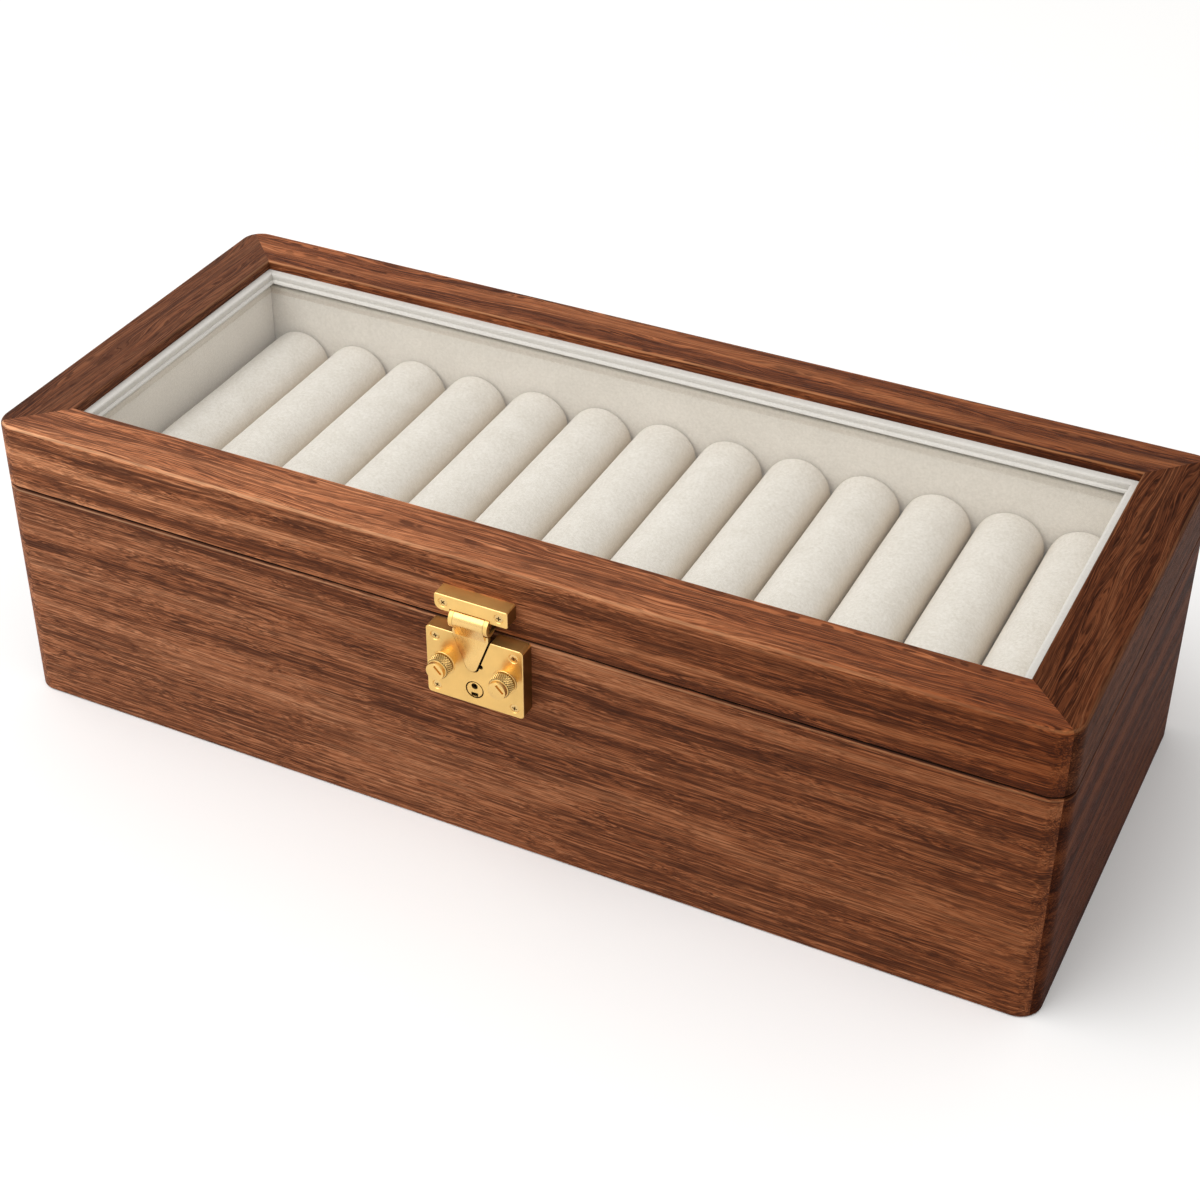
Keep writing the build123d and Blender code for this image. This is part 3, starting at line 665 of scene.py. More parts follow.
def seat(piece, body, slot, material, *replaced):
    """Gives a finished piece its material and body, and hides the CAD nodes that it stands for. Its slot is not used.
    """
    piece.data.materials.clear()
    piece.data.materials.append(material.data)
    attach(piece, body)
    if replaced:
        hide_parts(*replaced)


print("finishing helpers ready")

# %% [markdown]
# ## The padded rolls
# Each roll is a stiff tube wrapped in wadding and suede, with its ends folded in. A plain cylinder would do for
# the silhouette, but the cover of a padded thing bulges at the ends and is never quite even. So each roll starts
# as a slightly slack tube, and Blender's Cloth blows it up with a little pressure until the cover is taut. How
# far a point may move is capped, because the real wadding is thin. Three rolls are simulated, and the row
# repeats them turned end for end, which is enough for no two neighbours to match.

# %% Roll sizes
ROLLS = sorted(node for node in nodes if node.startswith("roll_") and node[5:].isdigit())
roll_low, roll_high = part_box(ROLLS[0])
ROLL_RADIUS = (roll_high.z - roll_low.z) / 2
ROLL_HALF = (roll_high.y - roll_low.y) / 2
ROLL_SLACK = 0.45 * MM
ROLL_SHOULDER = 2.4 * MM
SEAM_DEPTH = 0.28 * MM
SEAM_INSET = 2.8 * MM
SEAM_BREADTH = 0.45 * MM
UNEVENNESS = 0.010
LUMPS_ROUND = 1.3
LUMPS_ALONG = 22
SEED_STEP = 7.7
ROUND_STEPS = 56
LONG_STEPS = 34
SHOULDER_STEPS = 4
COVER_KINDS = 3
print(len(ROLLS), "rolls,", round(2000 * ROLL_RADIUS, 1), "mm across")


# %% The slack tube


def roll_profile(radius, half):
    """Radius and place along the roll, from the middle of one end to the middle of the other."""
    points = [(0.0, -half), (0.35 * radius, -half), (0.68 * radius, -half)]
    for step in range(SHOULDER_STEPS + 1):
        angle = math.pi / 2 * step / SHOULDER_STEPS
        reach = radius - ROLL_SHOULDER * (1 - math.sin(angle))
        points.append((reach, -half + ROLL_SHOULDER * (1 - math.cos(angle))))
    end = list(points)
    start = half - ROLL_SHOULDER
    points += [(radius, -start + 2 * start * step / LONG_STEPS) for step in range(1, LONG_STEPS)]
    return points + [(r, -y) for r, y in reversed(end)]


def slack_tube(name, seed):
    """A closed tube along Y about the origin, a little under size and a little uneven."""

    def evenness(angle, y):
        spot = Vector((math.cos(angle), y * LUMPS_ALONG, math.sin(angle)))
        return 1 + UNEVENNESS * noise.noise(spot * LUMPS_ROUND + Vector((seed * SEED_STEP, 0, 0)))

    profile = roll_profile(ROLL_RADIUS - ROLL_SLACK, ROLL_HALF - ROLL_SLACK)
    return turned_solid(name, profile, ROUND_STEPS, evenness)


# %% Inflate the cover with Cloth


def inflate(piece, frames=20, cap=0.5 * MM):
    """Blows the closed mesh up with Cloth pressure, and caps how far each point may move."""
    before = [vertex.co.copy() for vertex in piece.data.vertices]
    cloth = piece.modifiers.new("padding", "CLOTH")
    cloth.settings.use_pressure = True
    cloth.settings.uniform_pressure_force = 4
    cloth.settings.effector_weights.gravity = 0
    cloth.settings.tension_stiffness = 40
    cloth.settings.mass = 0.3
    cloth.point_cache.frame_start = 1
    cloth.point_cache.frame_end = frames
    scene = bpy.context.scene
    for step in range(1, frames + 1):
        scene.frame_set(step)
    baked(piece)
    scene.frame_set(1)
    longest = 0.0
    for vertex, start in zip(piece.data.vertices, before):
        move = vertex.co - start
        longest = max(longest, move.length)
        if move.length > cap:
            vertex.co = start + move.normalized() * cap
    print(piece.name, "moved by up to", round(longest * 1000, 2), "mm before the cap")


def tuck_seams(piece):
    """Presses a fine groove round each end, where the end disc is folded in."""
    for vertex in piece.data.vertices:
        from_seam = ROLL_HALF - abs(vertex.co.y) - SEAM_INSET
        depth = SEAM_DEPTH * math.exp(-((from_seam / SEAM_BREADTH) ** 2))
        across = Vector((vertex.co.x, 0, vertex.co.z))
        if across.length > 0.6 * ROLL_RADIUS:
            vertex.co -= across.normalized() * depth


COVERS = []
for seed in range(COVER_KINDS):
    cover = slack_tube("cover_%d" % seed, seed)
    inflate(cover)
    finer = cover.modifiers.new("finer", "SUBSURF")
    finer.levels = finer.render_levels = 1
    baked(cover)
    tuck_seams(cover)
    COVERS.append(cover.data.copy())
    bpy.data.objects.remove(cover)
print(len(COVERS), "covers of", len(COVERS[0].vertices), "points")

# %% Lay the rolls in a row
for index, node in enumerate(ROLLS):
    mesh = COVERS[index % COVER_KINDS].copy()
    half_turn = math.pi if index % 2 else 0.0
    mesh.transform(Matrix.Translation(centre(node)) @ Matrix.Rotation(half_turn, 4, "Z"))
    roll = new_object("suede_" + node, mesh)
    smooth(roll)
    seat(roll, node, "roll_suede", roll_suede, node)

# %% [markdown]
# ## The suede-covered linings
# The linings are thin boards with suede pulled over them. Where cloth goes round an edge the corner softens, and
# over a flat face it never lies quite dead. So each board is a box with enough faces to wave gently, a small
# bevel on its edges, and a little noise pressed into its faces. The Bevel modifier rounds only the real edges,
# because the angle limit skips the flat cuts.

# %% Make the covered boards
LINING_EDGE = 0.9 * MM
LINING_CELL = 9.0 * MM
LINING_WAVE = 0.16 * MM
WAVES_PER_METRE = 38.0
LININGS = ["lining_front", "lining_back", "lining_left", "lining_right", "lining_floor"]


def cut_box(low, high, spacing):
    """A closed box whose faces are cut into cells of about the spacing."""
    shape = bmesh.new()
    bmesh.ops.create_cube(shape, size=1.0)
    size = high - low
    middle = (low + high) / 2
    for vertex in shape.verts:
        vertex.co = Vector(vertex.co[axis] * size[axis] + middle[axis] for axis in range(3))
    for axis in range(3):
        cuts = max(0, round(size[axis] / spacing) - 1)
        if cuts:
            lengths = [e for e in shape.edges if abs((e.verts[0].co - e.verts[1].co)[axis]) > 0.5 * size[axis]]
            bmesh.ops.subdivide_edges(shape, edges=lengths, cuts=cuts, use_grid_fill=True)
    return shape


def soften(piece, height, scale, seed):
    """Moves each point along its normal by soft noise."""
    normals = [vertex.normal.copy() for vertex in piece.data.vertices]
    for vertex, normal in zip(piece.data.vertices, normals):
        wave = noise.noise(vertex.co * scale + Vector((seed * 3.1, 0, 0)))
        vertex.co -= normal * height * (0.5 + 0.5 * wave)


for seed, node in enumerate(LININGS):
    board = object_from("covered_" + node, cut_box(*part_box(node), LINING_CELL))
    bevel = board.modifiers.new("edges", "BEVEL")
    bevel.width = LINING_EDGE
    bevel.segments = 3
    bevel.limit_method = "ANGLE"
    baked(board)
    soften(board, LINING_WAVE, WAVES_PER_METRE, seed)
    smooth(board, 50)
    seat(board, "case", "suede", lining_suede, node)
print(len(LININGS), "linings covered")

# %% [markdown]
# ## The strips over the glass
# Four lined strips frame the pane from above. They meet at mitres, like a picture frame, so their section is
# swept along each side and cut on the slant at both ends. A thin bead runs along the strip's foot, where it meets
# the glass. A section drawn as points a given distance in from the frame makes the mitre by itself: a point that
# lies further in simply starts and ends further in.

# %% Make the mitred strips
strip_low, strip_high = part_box("retainer_front")
wall_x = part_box("retainer_right")[1].x
wall_y = -strip_low.y
STRIP_WIDTH = strip_high.y - strip_low.y
STRIP_ROUND = 0.9 * MM
STRIP_STATIONS = 30
BEAD_RADIUS = 1.1 * MM
BEAD_REACH = 0.8 * MM
BEAD_GROOVE = 0.12 * MM
MITRE_GAP = 0.06 * MM


def quarter_round(reach, z, radius, steps):
    """Points of a section round a quarter circle, from straight in to straight up."""
    angles = [math.radians(90 * step / steps) for step in range(steps + 1)]
    return [(reach + radius * math.cos(angle), z + radius * math.sin(angle)) for angle in angles]


def strip_section():
    """Distance in from the frame and height, round the strip's section."""
    foot = STRIP_WIDTH + BEAD_REACH - BEAD_RADIUS
    bead_top = strip_low.z + BEAD_RADIUS
    section = [(0.0, strip_high.z), (0.0, strip_low.z)]
    section += quarter_round(foot, strip_low.z, BEAD_RADIUS, 6)
    section += [(foot - BEAD_GROOVE, bead_top + 0.1 * MM), (foot, bead_top + 0.4 * MM)]
    return section + quarter_round(foot - STRIP_ROUND, strip_high.z - STRIP_ROUND, STRIP_ROUND, 4)


def mitred_strip(name, side, section):
    """A strip along one side of the frame, mitred at both ends."""
    turn = {"front": 0, "right": 1, "back": 2, "left": 3}[side] * math.pi / 2
    long_half, near = (wall_x, wall_y) if side in ("front", "back") else (wall_y, wall_x)
    shape = bmesh.new()
    rings = []
    for step in range(STRIP_STATIONS + 1):
        share = 2 * step / STRIP_STATIONS - 1
        places = [((long_half - inset - MITRE_GAP) * share, -near + inset, z) for inset, z in section]
        rings.append([shape.verts.new(place) for place in places])
    bridge(shape, rings)
    shape.faces.new(list(reversed(rings[0])))
    shape.faces.new(rings[-1])
    bmesh.ops.rotate(shape, verts=shape.verts, matrix=Matrix.Rotation(turn, 3, "Z"))
    return object_from(name, shape)


for side in ("front", "back", "left", "right"):
    strip = mitred_strip("covered_strip_" + side, side, strip_section())
    smooth(strip, 60)
    seat(strip, "lid", "suede", strip_suede, "retainer_" + side)
print("four strips,", round(1000 * STRIP_WIDTH, 1), "mm wide")

# %% [markdown]
# ## Geometry Nodes from Python
# What repeats by a rule is a job for Geometry Nodes: the scallops under the rolls, the screws and the knurling.
# A tree is built here once, with named inputs for its sizes, and a modifier runs it. The sizes go in by each
# socket's identifier. Every tree ends in Realize Instances and Set Material, because a copy that is only an
# instance would be lost when the mesh is kept.

# %% Geometry Nodes helpers


class Tree(Nodes):
    """A Geometry Nodes tree under construction."""

    prefix = "GeometryNode"

    def __init__(self, name):
        super().__init__(bpy.data.node_groups.new(name, "GeometryNodeTree"))
        self.entry = self.add("NodeGroupInput")
        self.result = self.add("NodeGroupOutput")

    def size(self, name, kind="Float"):
        """Adds a named input and returns the amount that it gives."""
        self.tree.interface.new_socket(name=name, in_out="INPUT", socket_type="NodeSocket" + kind)
        return Amount(self, self.entry.outputs[name])

    def finish(self, geometry, material):
        """Realizes the instances, sets the material and joins the result to the output."""
        self.tree.interface.new_socket(name="Geometry", in_out="OUTPUT", socket_type="NodeSocketGeometry")
        real = self.add("RealizeInstances", {0: geometry}).outputs[0]
        painted = self.add("SetMaterial", {"Geometry": real, "Material": material}).outputs[0]
        self.join(painted, self.result.inputs["Geometry"])


def run_tree(tree, name, mesh, values):
    """Runs a tree on a mesh with these values for its inputs, and returns a plain object."""
    piece = new_object(name, mesh)
    modifier = piece.modifiers.new(tree.tree.name, "NODES")
    modifier.node_group = tree.tree
    for item in tree.tree.interface.items_tree:
        if item.in_out == "INPUT" and item.name in values:
            modifier[item.identifier] = values[item.name]
    return baked(piece)


def points_mesh(name, places=()):
    mesh = bpy.data.meshes.new(name)
    mesh.from_pydata([tuple(place) for place in places], [], [])
    return mesh


print("Geometry Nodes helpers ready")

# %% [markdown]
# ## The scalloped rests
# The ends of the rolls lie in two boards with a scallop under each roll. The top edge follows a rule, the lower
# part of a circle that repeats at the roll's pitch, so the board is a flat grid whose upper row is lifted to
# that curve. The grid is then extruded to its thickness. Cutting thirteen cylinders with booleans gives the same
# shape with far worse faces.

# %% Tree for a scalloped board


def rest_tree():
    tree = Tree("scalloped board")
    tree.size("Geometry", "Geometry")
    names = ("Length", "Thickness", "Bottom", "Top", "Pitch", "Seat radius", "Axis height")
    length, thickness, bottom, top, pitch, seat_radius, axis_height = map(tree.size, names)
    columns = tree.size("Columns", "Int")
    material = tree.size("Material", "Material")
    cells = {"Size X": length, "Size Y": 1.0, "Vertices X": columns, "Vertices Y": 2}
    grid = tree.add("MeshGrid", cells).outputs["Mesh"]
    x, y, _ = tree.parts(tree.add("InputPosition").outputs[0])
    from_axis = (x + pitch * 0.5) % pitch - pitch * 0.5
    inside = tree.largest(seat_radius * seat_radius - from_axis * from_axis, 0.0)
    edge = tree.smallest(axis_height - tree.maths("SQRT", inside), top)
    height = tree.maths("GREATER_THAN", y, 0.0) * (edge - bottom) + bottom
    flat = tree.add("SetPosition", {"Geometry": grid, "Position": tree.vector(x, 0.0, height)}).outputs[0]
    other = tree.add("FlipFaces", {"Mesh": flat}).outputs[0]
    push = {"Mesh": flat, "Offset": tree.vector(0.0, 1.0, 0.0), "Offset Scale": thickness, "Individual": False}
    solid = tree.add("ExtrudeMesh", push).outputs[0]
    joined = tree.add("JoinGeometry", {0: [other, solid]}).outputs[0]
    tree.finish(tree.add("MergeByDistance", {"Geometry": joined, "Distance": 0.01 * MM}).outputs[0], material)
    return tree


# %% Make the two rests
SCALLOP_COLUMNS = 24
REST_GAP = 0.1 * MM
scalloped = rest_tree()
for side in ("front", "back"):
    node = "roll_rest_" + side
    low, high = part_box(node)
    values = {
        "Length": high.x - low.x - 2 * REST_GAP,
        "Thickness": high.y - low.y - 2 * REST_GAP,
        "Bottom": low.z + 0.05 * MM,
        "Top": high.z,
        "Pitch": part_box(ROLLS[1])[0].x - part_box(ROLLS[0])[0].x,
        "Seat radius": ROLL_RADIUS + 0.35 * MM,
        "Axis height": centre(ROLLS[0]).z,
        "Columns": len(ROLLS) * SCALLOP_COLUMNS + 1,
        "Material": lining_suede.data,
    }
    rest = run_tree(scalloped, "covered_" + node, points_mesh(node), values)
    rest.data.transform(Matrix.Translation((0, low.y + REST_GAP, 0)))
    shape = bmesh.new()
    shape.from_mesh(rest.data)
    rest.data = mesh_from(rest.name, shape)
    smooth(rest, 30)
    seat(rest, "case", "suede", lining_suede, node)
    print(rest.name, "has", len(rest.data.polygons), "faces")

# %% [markdown]
# ## The screws
# Twelve wood screws hold the lock and the hinges, plus two in the bar. They share one shape: a countersunk head
# with a cross slot, on a shank. The tree makes it once from two cones and a cylinder, cuts the slots with a Mesh
# Boolean, and copies it to every point of its input mesh. A random turn for each one matters more than it seems,
# because no one tightens every screw to the same angle.

# %% Tree for a set of screws
SCREW_SIZES = {
    "Head radius": 1.76 * MM,
    "Head height": 0.9 * MM,
    "Shank radius": 1.0 * MM,
    "Slot length": 1.85 * MM,
    "Slot width": 0.46 * MM,
    "Slot depth": 0.85 * MM,
}
SCREW_SINK = 0.22 * MM
SCREW_TIP_GAP = 1.5 * MM
RIM_SHARE = 0.16
CROWN_SHARE = 0.88
SCREW_SIDES = 40
FIRST_SEED = 4


def screw_tree():
    tree = Tree("cross-slot screws")
    points = tree.size("Geometry", "Geometry")
    facing = tree.size("Facing", "Vector")
    head_radius, head_height, shank_radius, slot_length, slot_width, slot_depth = map(tree.size, SCREW_SIZES)
    length = tree.size("Length")
    sides, seed = tree.size("Sides", "Int"), tree.size("Seed", "Int")
    material = tree.size("Material", "Material")

    def cone(top_radius, bottom_radius, depth):
        values = {"Vertices": sides, "Radius Top": top_radius, "Radius Bottom": bottom_radius, "Depth": depth}
        return tree.add("MeshCone", values).outputs["Mesh"]

    def lowered(mesh, drop):
        down = tree.vector(z=drop * -1.0)
        return tree.add("Transform", {"Geometry": mesh, "Translation": down}).outputs[0]

    rim = head_height * RIM_SHARE
    head = lowered(cone(head_radius, shank_radius, head_height - rim), head_height)
    dome = lowered(cone(head_radius * CROWN_SHARE, head_radius, rim), rim)
    rod = tree.add("MeshCylinder", {"Vertices": sides, "Radius": shank_radius, "Depth": length}).outputs["Mesh"]
    shank = lowered(rod, length * 0.5 + head_height * 0.5)
    body = tree.add("MeshBoolean", {"Mesh 2": [head, dome, shank]}, operation="UNION", solver="EXACT").outputs[0]
    slots = []
    for across, along in ((slot_length, slot_width), (slot_width, slot_length)):
        size = tree.vector(across, along, slot_depth * 2.0)
        slots.append(tree.add("MeshCube", {"Size": size}).outputs["Mesh"])
    cut = tree.add("MeshBoolean", {"Mesh 1": body, "Mesh 2": slots}, operation="DIFFERENCE", solver="EXACT")

    any_turn = {"Min": 0.0, "Max": math.pi / 2, "Seed": seed}
    twist = tree.add("FunctionNodeRandomValue", any_turn, data_type="FLOAT").outputs[1]
    spin = tree.add("FunctionNodeAxisAngleToRotation", {"Axis": (0, 0, 1), "Angle": twist}).outputs[0]
    aim = tree.add("FunctionNodeEulerToRotation", {"Euler": facing}).outputs[0]
    pose = tree.add("FunctionNodeRotateRotation", {"Rotation": spin, "Rotate By": aim}, rotation_space="GLOBAL")
    placing = {"Points": points, "Instance": cut.outputs[0], "Rotation": pose.outputs[0]}
    tree.finish(tree.add("InstanceOnPoints", placing).outputs[0], material)
    return tree


# %% Make the screw sets
SCREW_SETS = {
    "lock_case_screws": ("case", "-Y", front_screw_brass),
    "hasp_bar_screws": ("lid", "-Y", front_screw_brass),
    "base_hinge_screws": ("case", "+Z", screw_brass),
    "lid_hinge_screws": ("lid", "-Z", screw_brass),
}
FACINGS = {
    "-Y": (Vector((0, -1, 0)), (math.pi / 2, 0, 0)),
    "+Z": (Vector((0, 0, 1)), (0, 0, 0)),
    "-Z": (Vector((0, 0, -1)), (math.pi, 0, 0)),
}


def screw_places(node, outward):
    """The middle of each screw's head and the screw's length, from the separate solids of a CAD node."""
    shape = bmesh.new()
    shape.from_mesh(nodes[node].data)
    bmesh.ops.remove_doubles(shape, verts=shape.verts, dist=0.001 * MM)
    places = []
    left = set(shape.verts)
    while left:
        group = [left.pop()]
        for vertex in group:
            for edge in vertex.link_edges:
                other = edge.other_vert(vertex)
                if other in left:
                    left.remove(other)
                    group.append(other)
        low = Vector(min(v.co[axis] for v in group) for axis in range(3))
        high = Vector(max(v.co[axis] for v in group) for axis in range(3))
        middle = (low + high) / 2
        reach = (high - low).dot(Vector(abs(part) for part in outward)) / 2
        places.append((middle + outward * (reach - SCREW_SINK), 2 * reach))
    shape.free()
    return sorted(places, key=lambda found: tuple(round(c, 5) for c in found[0]))


screws = screw_tree()
for seed, (node, (body, side, metal)) in enumerate(SCREW_SETS.items()):
    outward, facing = FACINGS[side]
    found = screw_places(node, outward)
    values = {
        **SCREW_SIZES,
        "Facing": facing,
        "Length": found[0][1] - SCREW_SIZES["Head height"] - SCREW_TIP_GAP,
        "Sides": SCREW_SIDES,
        "Seed": seed + FIRST_SEED,
        "Material": metal.data,
    }
    piece = run_tree(screws, "crossed_" + node, points_mesh(node, [place for place, _ in found]), values)
    smooth(piece, 35)
    seat(piece, body, "screws", metal, node)
    print(piece.name, len(found), "screws,", len(piece.data.polygons), "faces")

# %% [markdown]
# ## The turn knobs
# Each knob is turned from bar: a flange, a knurled grip and a plain cap with a slot. The turned parts are one
# outline spun round the axis. The knurling is two sets of crossing grooves that leave rows of little pyramids,
# so it is made of pyramids: one four-sided cone, copied round the grip in rows that are each shifted by half a
# tooth. The brass between the teeth is painted dark, as painted shade at the bottom of the grooves.

# %% Tree for the knurling
TOOTH_WIDTH = 0.52
TOOTH_OVERLAP = 1.04


def knurl_tree():
    tree = Tree("diamond knurling")
    tree.size("Geometry", "Geometry")
    radius, length = tree.size("Radius"), tree.size("Length")
    teeth, rows = tree.size("Teeth", "Int"), tree.size("Rows", "Int")
    tooth_height = tree.size("Tooth height")
    material = tree.size("Material", "Material")
    index = Amount(tree, tree.add("InputIndex").outputs[0])
    row = tree.maths("FLOOR", (index + 0.5) / teeth)
    step = 2 * math.pi / teeth
    angle = (row % 2.0 * 0.5 + index % teeth) * step
    spacing = length / (rows + 1.0)
    x, z = (radius * tree.maths(turn, angle) for turn in ("COSINE", "SINE"))
    spot = tree.vector(x, (row + 1.0) * spacing, z)
    dots = tree.add("Points", {"Count": teeth * rows, "Position": spot}).outputs[0]
    half_width = radius * step * TOOTH_WIDTH
    cone = {"Vertices": 4, "Radius Top": 0.0, "Radius Bottom": half_width, "Depth": tooth_height}
    placing = {
        "Points": dots,
        "Instance": tree.add("MeshCone", cone).outputs["Mesh"],
        "Rotation": tree.vector(y=math.pi / 2 - angle),
        "Scale": tree.vector(1.0, spacing / half_width * TOOTH_OVERLAP, 1.0),
    }
    tree.finish(tree.add("InstanceOnPoints", placing).outputs[0], material)
    return tree


# %% Turned parts of a knob
KNOB_CAP_RADIUS = 3.6 * MM
KNOB_CAP_LENGTH = 1.9 * MM
KNOB_EDGE = 0.35 * MM
KNOB_ROUNDING = 0.15 * MM
KNOB_SIDES = 72
KNURL_RADIUS = 4.4 * MM
KNURL_LENGTH = 4.0 * MM
KNURL_HEIGHT = 0.36 * MM
KNURL_TEETH = 30
KNURL_ROWS = 7
# Depths below the knurling's outer radius between which its painted shade fades out.
DARK_BELOW = 0.34 * MM
UNSHADED_ABOVE = 0.14 * MM
FLANGE_LENGTH = 0.8 * MM
SPINDLE_RADIUS = 1.5 * MM
CAP_SLOT = (0.95 * MM, 4.0 * MM, 0.9 * MM)
CAP_SLOT_REACH = 1.8 * MM
CAP_SLOT_ANGLE = math.radians(44)


def knob_outline(flange_radius, length):
    """The knob's outline from the middle of its cap to the end of its spindle, starting at y = 0."""
    flange_start = KNOB_CAP_LENGTH + KNURL_LENGTH
    back = flange_start + FLANGE_LENGTH
    core = KNURL_RADIUS - KNURL_HEIGHT
    return [
        (0.0, 0.0),
        (KNOB_CAP_RADIUS - KNOB_EDGE, 0.0),
        (KNOB_CAP_RADIUS - 0.3 * KNOB_EDGE, 0.3 * KNOB_EDGE),
        (KNOB_CAP_RADIUS, KNOB_EDGE),
        (KNOB_CAP_RADIUS, KNOB_CAP_LENGTH - KNOB_ROUNDING),
        (core - KNOB_ROUNDING, KNOB_CAP_LENGTH),
        (core, KNOB_CAP_LENGTH + KNOB_ROUNDING),
        (core, flange_start),
        (flange_radius - KNOB_ROUNDING, flange_start),
        (flange_radius, flange_start + KNOB_ROUNDING),
        (flange_radius, back - KNOB_ROUNDING),
        (flange_radius - KNOB_ROUNDING, back),
        (SPINDLE_RADIUS, back),
        (SPINDLE_RADIUS, length),
        (0.0, length),
    ]


def cut_slot(piece):
    """Cuts the slot near the edge of the cap."""
    shape = bmesh.new()
    bmesh.ops.create_cube(shape, size=1.0)
    width, length, depth = CAP_SLOT
    for vertex in shape.verts:
        x, y, z = vertex.co
        vertex.co = Vector((x * width + CAP_SLOT_REACH, y * 2 * depth, z * length))
    bmesh.ops.rotate(shape, verts=shape.verts, matrix=Matrix.Rotation(-CAP_SLOT_ANGLE, 3, "Y"))
    cutter = object_from("cutter", shape)
    boolean = piece.modifiers.new("slot", "BOOLEAN")
    boolean.object = cutter
    boolean.solver = "EXACT"
    baked(piece)
    bpy.data.objects.remove(cutter)


def join_meshes(name, *pieces):
    """One mesh from several pieces, which are removed."""
    shape = bmesh.new()
    for piece in pieces:
        shape.from_mesh(piece.data)
        bpy.data.objects.remove(piece)
    mesh = bpy.data.meshes.new(name)
    shape.to_mesh(mesh)
    shape.free()
    return new_object(name, mesh)


def knob_brass(node):
    """Brass with painted shade at the bottom of the knurling."""
    m = brass("brass_" + node, (0.88, 0.57, 0.20), (0.26, 0.40))
    x, y, z = m.parts(m.place())
    radius = m.hypotenuse(x - centre(node).x, z - centre(node).z)
    # Painted shade in the knurling's grooves.
    groove = m.fade(radius, KNURL_RADIUS - DARK_BELOW, KNURL_RADIUS - UNSHADED_ABOVE, 0.80)
    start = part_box(node)[0].y + KNOB_CAP_LENGTH - 0.1 * MM
    end = start + KNURL_LENGTH + 0.2 * MM
    on_grip = m.remap(y, start, start + 0.2 * MM) * m.fade(y, end - 0.2 * MM, end)
    m.repaint(groove * on_grip, HOLLOW_SHADE)
    return m


# %% Make the two knobs
knurling = knurl_tree()
for side in ("left", "right"):
    node = "knob_" + side
    low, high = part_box(node)
    metal = knob_brass(node)
    turned = turned_solid("turned_" + node, knob_outline((high.x - low.x) / 2, high.y - low.y), KNOB_SIDES)
    cut_slot(turned)
    values = {
        "Radius": KNURL_RADIUS - KNURL_HEIGHT - 0.02 * MM,
        "Length": KNURL_LENGTH - 0.1 * MM,
        "Teeth": KNURL_TEETH,
        "Rows": KNURL_ROWS,
        "Tooth height": KNURL_HEIGHT,
        "Material": metal.data,
    }
    grip = run_tree(knurling, "grip_" + node, points_mesh(node), values)
    grip.data.transform(Matrix.Translation((0, KNOB_CAP_LENGTH + 0.05 * MM, 0)))
    knob = join_meshes("knurled_" + node, turned, grip)
    knob.data.transform(Matrix.Translation((centre(node).x, low.y, centre(node).z)))
    smooth(knob, 25)
    seat(knob, node, "brass", metal, node)
    print(knob.name, "has", len(knob.data.polygons), "faces")

# %% [markdown]
# ## The felt under the box
# A sheet of felt is glued under the panel so that the box doesn't scratch a table. It is cut from flat cloth, so
# it is made as a thin sheet: a grid with a little noise, given its thickness by Solidify.

# %% Make the felt
FELT_FUZZ = 0.08 * MM
FELT_LUMPS = 120.0
low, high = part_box("base_felt")
shape = bmesh.new()
bmesh.ops.create_grid(shape, x_segments=80, y_segments=32, size=0.5)
for vertex in shape.verts:
    vertex.co = Vector((vertex.co.x * (high.x - low.x), vertex.co.y * (high.y - low.y), low.z))
    vertex.co.z += FELT_FUZZ * abs(noise.noise(vertex.co * FELT_LUMPS))
underside = object_from("felt_sheet", shape)
thickness = underside.modifiers.new("thickness", "SOLIDIFY")
thickness.thickness = high.z - low.z - 2 * FELT_FUZZ
thickness.offset = 1.0 if underside.data.polygons[0].normal.z > 0 else -1.0
baked(underside)
smooth(underside, 50)
seat(underside, "case", "felt", dark_felt, "base_felt")
print("felt", [round(c, 4) for c in high - low])

# %% [markdown]
# ## Floor, light and background
# The photograph was taken on white paper with a large soft light above, to the left and a little in front of the
# box. A big area lamp gives the soft shadow on the right, and an even, slightly warm world fills it. The world
# looks white to the camera and in reflections, but it lights the scene with less than that, so that the lamp
# still shapes the box. White paper also throws a lot of light back up, which would wash out the dark side of the
# box, so the floor is darker to the bounced light than it is to the camera. Far from the box the paper melts into
# the white behind it, so no horizon shows.

# %% The floor
FLOOR_HALF = 4.0
PAPER_WHITE = 0.95
PAPER_BOUNCE = 0.40
MELT_BETWEEN = (0.9, 2.2)
WHITE = (1.0, 1.0, 1.0)


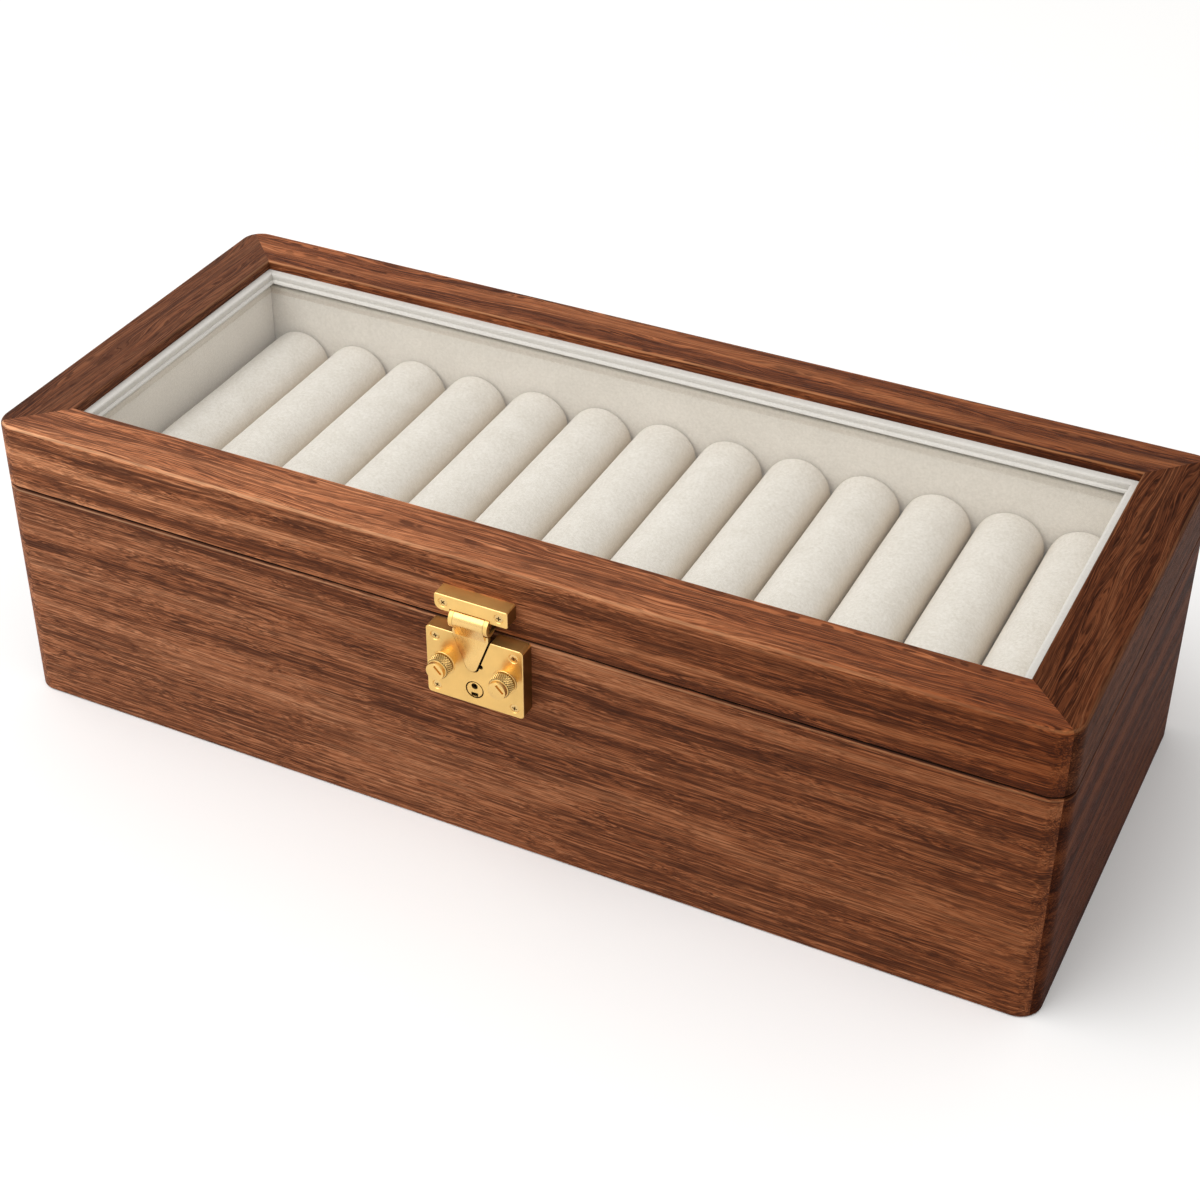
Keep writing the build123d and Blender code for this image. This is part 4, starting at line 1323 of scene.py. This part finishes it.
def seen_directly(paint):
    """1 for the rays that look at a thing, straight or by a mirror, and 0 for the rays that light others by it."""
    rays = paint.add("LightPath").outputs
    return paint.largest(rays["Is Camera Ray"], rays["Is Glossy Ray"], rays["Is Transmission Ray"])


shape = bmesh.new()
bmesh.ops.create_grid(shape, x_segments=1, y_segments=1, size=FLOOR_HALF)
floor = object_from("floor", shape)
paper = Material("white_paper")
looked_at = seen_directly(paper)
shade = paper.remap(looked_at, 0.0, 1.0, PAPER_BOUNCE, PAPER_WHITE)
grey = paper.add("CombineColor", {0: shade, 1: shade, 2: shade}).outputs[0]
paper.finish(grey, 0.9, Specular_IOR_Level=0.0)
far_off = paper.add("VectorMath", {0: paper.place()}, operation="LENGTH").outputs["Value"]
melting = paper.remap(far_off, *MELT_BETWEEN) * looked_at
glow = paper.add("Emission", {"Color": (*WHITE, 1), "Strength": 1.0}).outputs[0]
paper.show(paper.add("MixShader", {0: melting, 1: paper.shader.outputs[0], 2: glow}).outputs[0])
floor.data.materials.append(paper.data)

# %% The lamp and the world
WORLD_STRENGTH = 0.73
WORLD_WARMTH = (1.0, 0.985, 0.965)
LAMP_STRENGTH = 59.5
LAMP_SIZE = (2.9, 2.9)
LAMP_PLACE = Vector((-0.98, -1.22, 2.42))
LAMP_AIM = Vector((0, 0, 0.05))
lamp_data = bpy.data.lights.new("soft_box", "AREA")
lamp_data.shape = "RECTANGLE"
lamp_data.size, lamp_data.size_y = LAMP_SIZE
lamp_data.energy = LAMP_STRENGTH
lamp = new_object("soft_box", lamp_data)
lamp.location = LAMP_PLACE
lamp.rotation_euler = (LAMP_AIM - LAMP_PLACE).to_track_quat("-Z", "Y").to_euler()

world = bpy.data.worlds.new("studio")
bpy.context.scene.world = world
world.use_nodes = True
sky = Paint(world.node_tree)
sky.tree.nodes.clear()
looked_at = seen_directly(sky)
strength = sky.remap(looked_at, 0.0, 1.0, WORLD_STRENGTH, 1.0)
light = sky.add("Background", {"Color": sky.mix(looked_at, WORLD_WARMTH, WHITE), "Strength": strength})
sky.add("OutputWorld", {"Surface": light.outputs[0]})
bpy.context.scene.view_settings.view_transform = "Standard"
print("lamp at", tuple(round(c, 2) for c in LAMP_PLACE))
